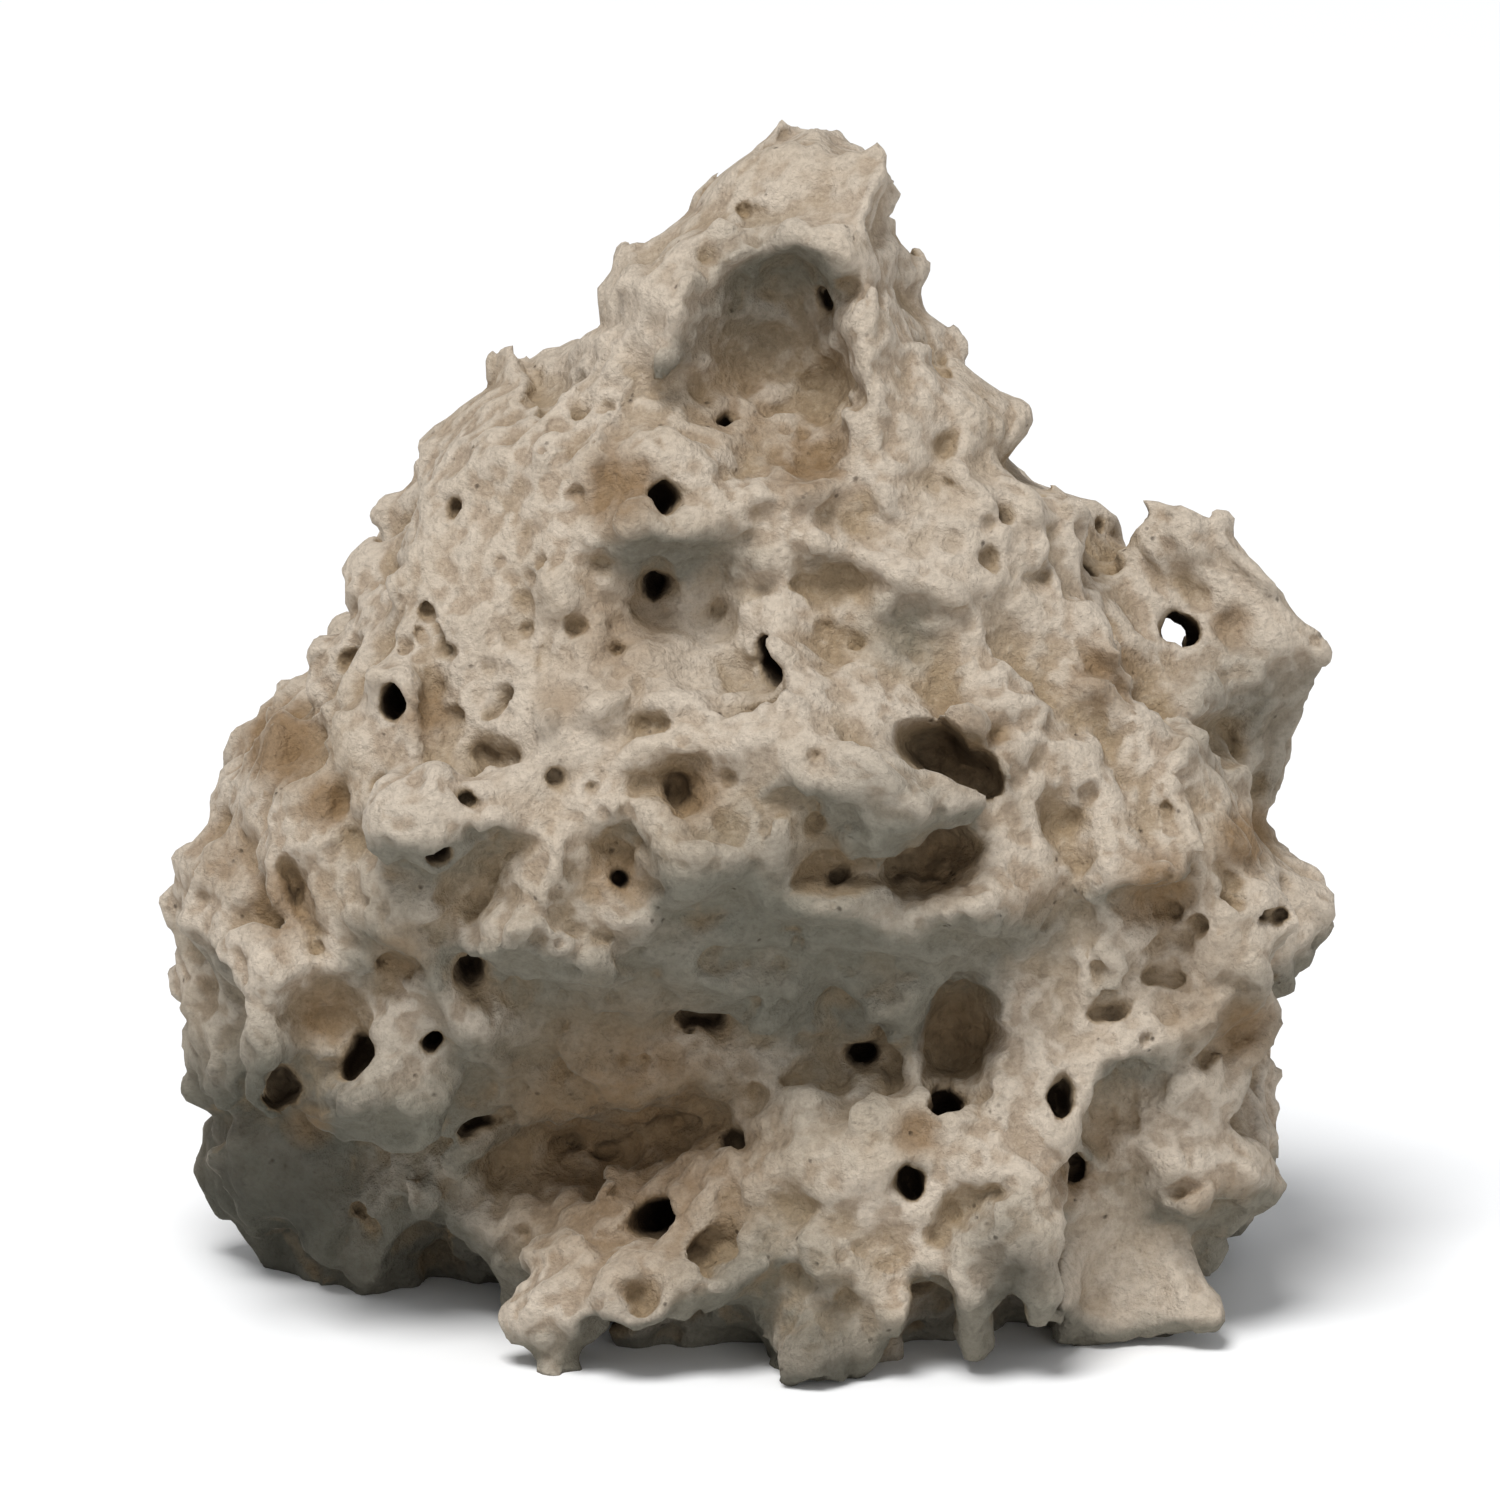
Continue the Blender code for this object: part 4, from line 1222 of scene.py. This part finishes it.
def limestone_colour(n, colours, blotch, mottle, grain, pinhole):
    """Cream and chalk, with painted light on the palest patches, covered in turn by tan, by painted
    shade in grey on the undersides and the grey patches, by painted shadow next to the ground, by
    stains, by painted shade in deep holes, by dark grit, and by pinholes painted dark as shade.
    """
    cream, chalk_and_painted_light, tan, brown, umber_and_hole_shade, painted_shade_grey = (
        (*getattr(colours, name), 1) for name in ("cream", "chalk_and_painted_light", "tan", "brown", "umber_and_hole_shade", "painted_shade_grey")
    )
    # Painted shadow: the grey of the painted shade, darkened, for the patches next to the ground
    painted_shadow = (*[channel * PAINTED_SHADOW_SHARE for channel in colours.painted_shade_grey], 1)
    hollow = n.mask("hollow")

    pale = n.grade(n.plus(n.mask("ridge"), n.times(mottle, PALE_BREAK)), "pale")
    base = n.mix(pale, cream, chalk_and_painted_light)
    base = n.mix(n.grade(blotch, "blotched"), base, tan)
    sunk = n.grade(n.plus(n.mask("basin"), n.times(mottle, SUNK_BREAK)), "sunk")
    base = n.mix(sunk, base, tan)
    base = n.mix(n.grade(grain, "chalky"), base, chalk_and_painted_light)
    # Painted light: the palest patches are painted towards chalk
    base = n.mix(n.times(n.mask("light"), n.grade(mottle, "painted_lit")), base, chalk_and_painted_light)

    # Painted shade: faces turned to the ground are painted grey
    under = n.grade(n.plus(n.mask("painted_underside_shade"), n.times(blotch, UNDERSIDE_SHADE_BREAK)), "under")
    base = n.mix(n.times(under, UNDERSIDE_SHADE_SHARE), base, painted_shade_grey)
    # Painted shade: the grey-green patches where the front lies in shade
    base = n.mix(n.times(n.mask("painted_shade"), n.grade(mottle, "painted_shade")), base, painted_shade_grey)
    # Painted shadow: the darkest patches, next to the ground
    base = n.mix(n.times(n.mask("painted_shadow"), n.grade(mottle, "painted_shadow_depth")), base, painted_shadow)

    shallow = n.grade(n.plus(hollow, n.times(mottle, SHALLOW_BREAK)), "shallow")
    base = n.mix(n.times(shallow, SHALLOW_SHARE), base, tan)
    stained = n.grade(n.times(n.mask("stain"), n.plus(mottle, STAIN_LIFT)), "stained")
    base = n.mix(stained, base, brown)
    # Painted shade: the bottoms of deep holes, which see little of the room, are painted dark
    base = n.mix(n.grade(hollow, "deep"), base, umber_and_hole_shade)
    base = n.mix(n.grade(grain, "gritty"), base, umber_and_hole_shade)
    # Painted shade: pinholes are painted dark, as shade inside tiny pores
    return n.mix(n.times(pinhole, PINHOLE_SHARE), base, umber_and_hole_shade)


def limestone(colours, sizes):
    """Powdery porous limestone: chalky ridges, tan hollows, brown stains, painted shade on the
    undersides, in deep holes and in pinholes, painted shadow next to the ground and painted light on the
    palest patches.
    """
    material = bpy.data.materials.new("limestone")
    material.use_nodes = True
    links = material.node_tree.links
    shader = material.node_tree.nodes["Principled BSDF"]
    n = Nodes(material.node_tree)
    place = n.add("ShaderNodeTexCoord").outputs["Object"]
    blotch = n.noise(place, *BLOTCH)
    mottle = n.noise(place, *MOTTLE)
    grain = n.noise(place, *GRAIN)
    pore = n.grade(n.cells(place, PORE_SIZE), "pore")
    pinhole = n.times(n.minus(1.0, pore), n.grade(n.noise(place, *PORE_PATCH), "pore_patch"))

    base = limestone_colour(n, colours, blotch, mottle, grain, pinhole)
    links.new(base, shader.inputs["Base Color"])
    links.new(n.grade(grain, "roughness"), shader.inputs["Roughness"])
    shader.inputs["Specular IOR Level"].default_value = STONE_GLOSS

    height = n.plus(n.times(mottle, BUMP_MOTTLE), n.times(grain, BUMP_GRAIN))
    height = n.minus(height, n.times(n.cells(place, CRUMB_CELL), BUMP_CRUMB))
    height = n.plus(height, n.times(n.noise(place, *POWDER), BUMP_POWDER))
    height = n.minus(height, n.times(pinhole, BUMP_PINHOLE))
    bump = n.add("ShaderNodeBump", {"Height": height, "Distance": sizes.grain, "Strength": 1.0})
    links.new(bump.outputs["Normal"], shader.inputs["Normal"])
    return material


def pale_floor(value):
    """A plain matt finish, with a faint unevenness."""
    material = bpy.data.materials.new("pale_floor")
    material.use_nodes = True
    shader = material.node_tree.nodes["Principled BSDF"]
    n = Nodes(material.node_tree)
    place = n.add("ShaderNodeTexCoord").outputs["Object"]
    faint = n.grade(n.noise(place, *FLOOR_NOISE), "floor")
    darker = (*[channel * FLOOR_SHADE for channel in value], 1)
    base = n.mix(faint, (*value, 1), darker)
    material.node_tree.links.new(base, shader.inputs["Base Color"])
    shader.inputs["Roughness"].default_value = FLOOR_ROUGHNESS
    return material


def add_floor(settings):
    """The floor on which the stone rests."""
    shape = bmesh.new()
    bmesh.ops.create_circle(shape, cap_ends=True, segments=FLOOR_SIDES, radius=FLOOR_RADIUS)
    mesh = bpy.data.meshes.new("floor")
    shape.to_mesh(mesh)
    shape.free()
    floor = bpy.data.objects.new("floor", mesh)
    bpy.context.scene.collection.objects.link(floor)
    mesh.materials.append(pale_floor(settings.floor_colour))


def add_light(name, place, target, size, power):
    """A round soft light, turned towards the stone."""
    data = bpy.data.lights.new(name, "AREA")
    data.shape = "DISK"
    data.size = size
    data.energy = power
    light = bpy.data.objects.new(name, data)
    light.location = place
    light.rotation_mode = "QUATERNION"
    light.rotation_quaternion = (target - light.location).to_track_quat("-Z", "Y")
    bpy.context.scene.collection.objects.link(light)


def add_camera(settings, target):
    """The photograph's angle: level with the front, looking a little down."""
    data = bpy.data.cameras.new("camera")
    data.lens = data.sensor_width * settings.distance / settings.view_width
    data.clip_start, data.clip_end = CLIP
    camera = bpy.data.objects.new("camera", data)
    back = Vector((0, -math.cos(VIEW_ELEVATION), math.sin(VIEW_ELEVATION)))
    camera.location = target + back * settings.distance
    camera.rotation_mode = "QUATERNION"
    camera.rotation_quaternion = (-back).to_track_quat("-Z", "Y")
    bpy.context.scene.collection.objects.link(camera)
    bpy.context.scene.camera = camera


class STONE_OT_base_rock(bpy.types.Operator):
    """Carve the porous limestone base rock"""

    bl_idname = "stone.base_rock"
    bl_label = "Base Rock"

    def execute(self, context):
        sizes = context.scene.stone_sizes
        stone = carve_stone()
        roughen(stone, sizes.relief)
        press_fine_pits(stone, sizes.pits)
        fit_outline(stone)
        finish_mesh(stone)
        write_masks(stone)
        move_onto_frame(stone)
        stone.data.materials.append(limestone(context.scene.stone_colours, sizes))
        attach(stone, "root")
        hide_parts(NODE)
        return {"FINISHED"}


class STONE_OT_stage(bpy.types.Operator):
    """Lay the pale floor and set the soft lights and the camera"""

    bl_idname = "stone.stage"
    bl_label = "Stage"

    def execute(self, context):
        settings = context.scene.stone_stage
        add_floor(settings)
        target = Vector((*VIEW_MIDDLE, settings.target_height))
        add_light("key", Vector(KEY_PLACE), target, KEY_SIZE, settings.key_power)
        add_light("fill", Vector(FILL_PLACE), target, FILL_SIZE, settings.fill_power)
        world = bpy.data.worlds.new("room")
        context.scene.world = world
        world.use_nodes = True
        sky = world.node_tree.nodes["Background"]
        sky.inputs["Color"].default_value = ROOM_COLOUR
        sky.inputs["Strength"].default_value = settings.sky
        context.scene.view_settings.view_transform = "Standard"
        add_camera(settings, target)
        return {"FINISHED"}


class STONE_PT_base_rock(bpy.types.Panel):
    """Lists the stone's settings and operators in the sidebar"""

    bl_idname = "STONE_PT_base_rock"
    bl_label = "Base Rock"
    bl_space_type = "VIEW_3D"
    bl_region_type = "UI"
    bl_category = "Base Rock"

    def draw(self, context):
        scene = context.scene
        for settings in (scene.stone_sizes, scene.stone_colours, scene.stone_stage):
            for name in settings.__annotations__:
                self.layout.prop(settings, name)
        for operator in OPERATORS:
            self.layout.operator(operator.bl_idname)


OPERATORS = (STONE_OT_base_rock, STONE_OT_stage)
CLASSES = (StoneSizes, StoneColours, StageSettings, *OPERATORS, STONE_PT_base_rock)


def register():
    for cls in CLASSES:
        bpy.utils.register_class(cls)
    bpy.types.Scene.stone_sizes = PointerProperty(type=StoneSizes)
    bpy.types.Scene.stone_colours = PointerProperty(type=StoneColours)
    bpy.types.Scene.stone_stage = PointerProperty(type=StageSettings)


def unregister():
    del bpy.types.Scene.stone_sizes
    del bpy.types.Scene.stone_colours
    del bpy.types.Scene.stone_stage
    for cls in reversed(CLASSES):
        bpy.utils.unregister_class(cls)


def main():
    register()
    bpy.ops.stone.base_rock()
    bpy.ops.stone.stage()


if __name__ == "__main__":
    main()
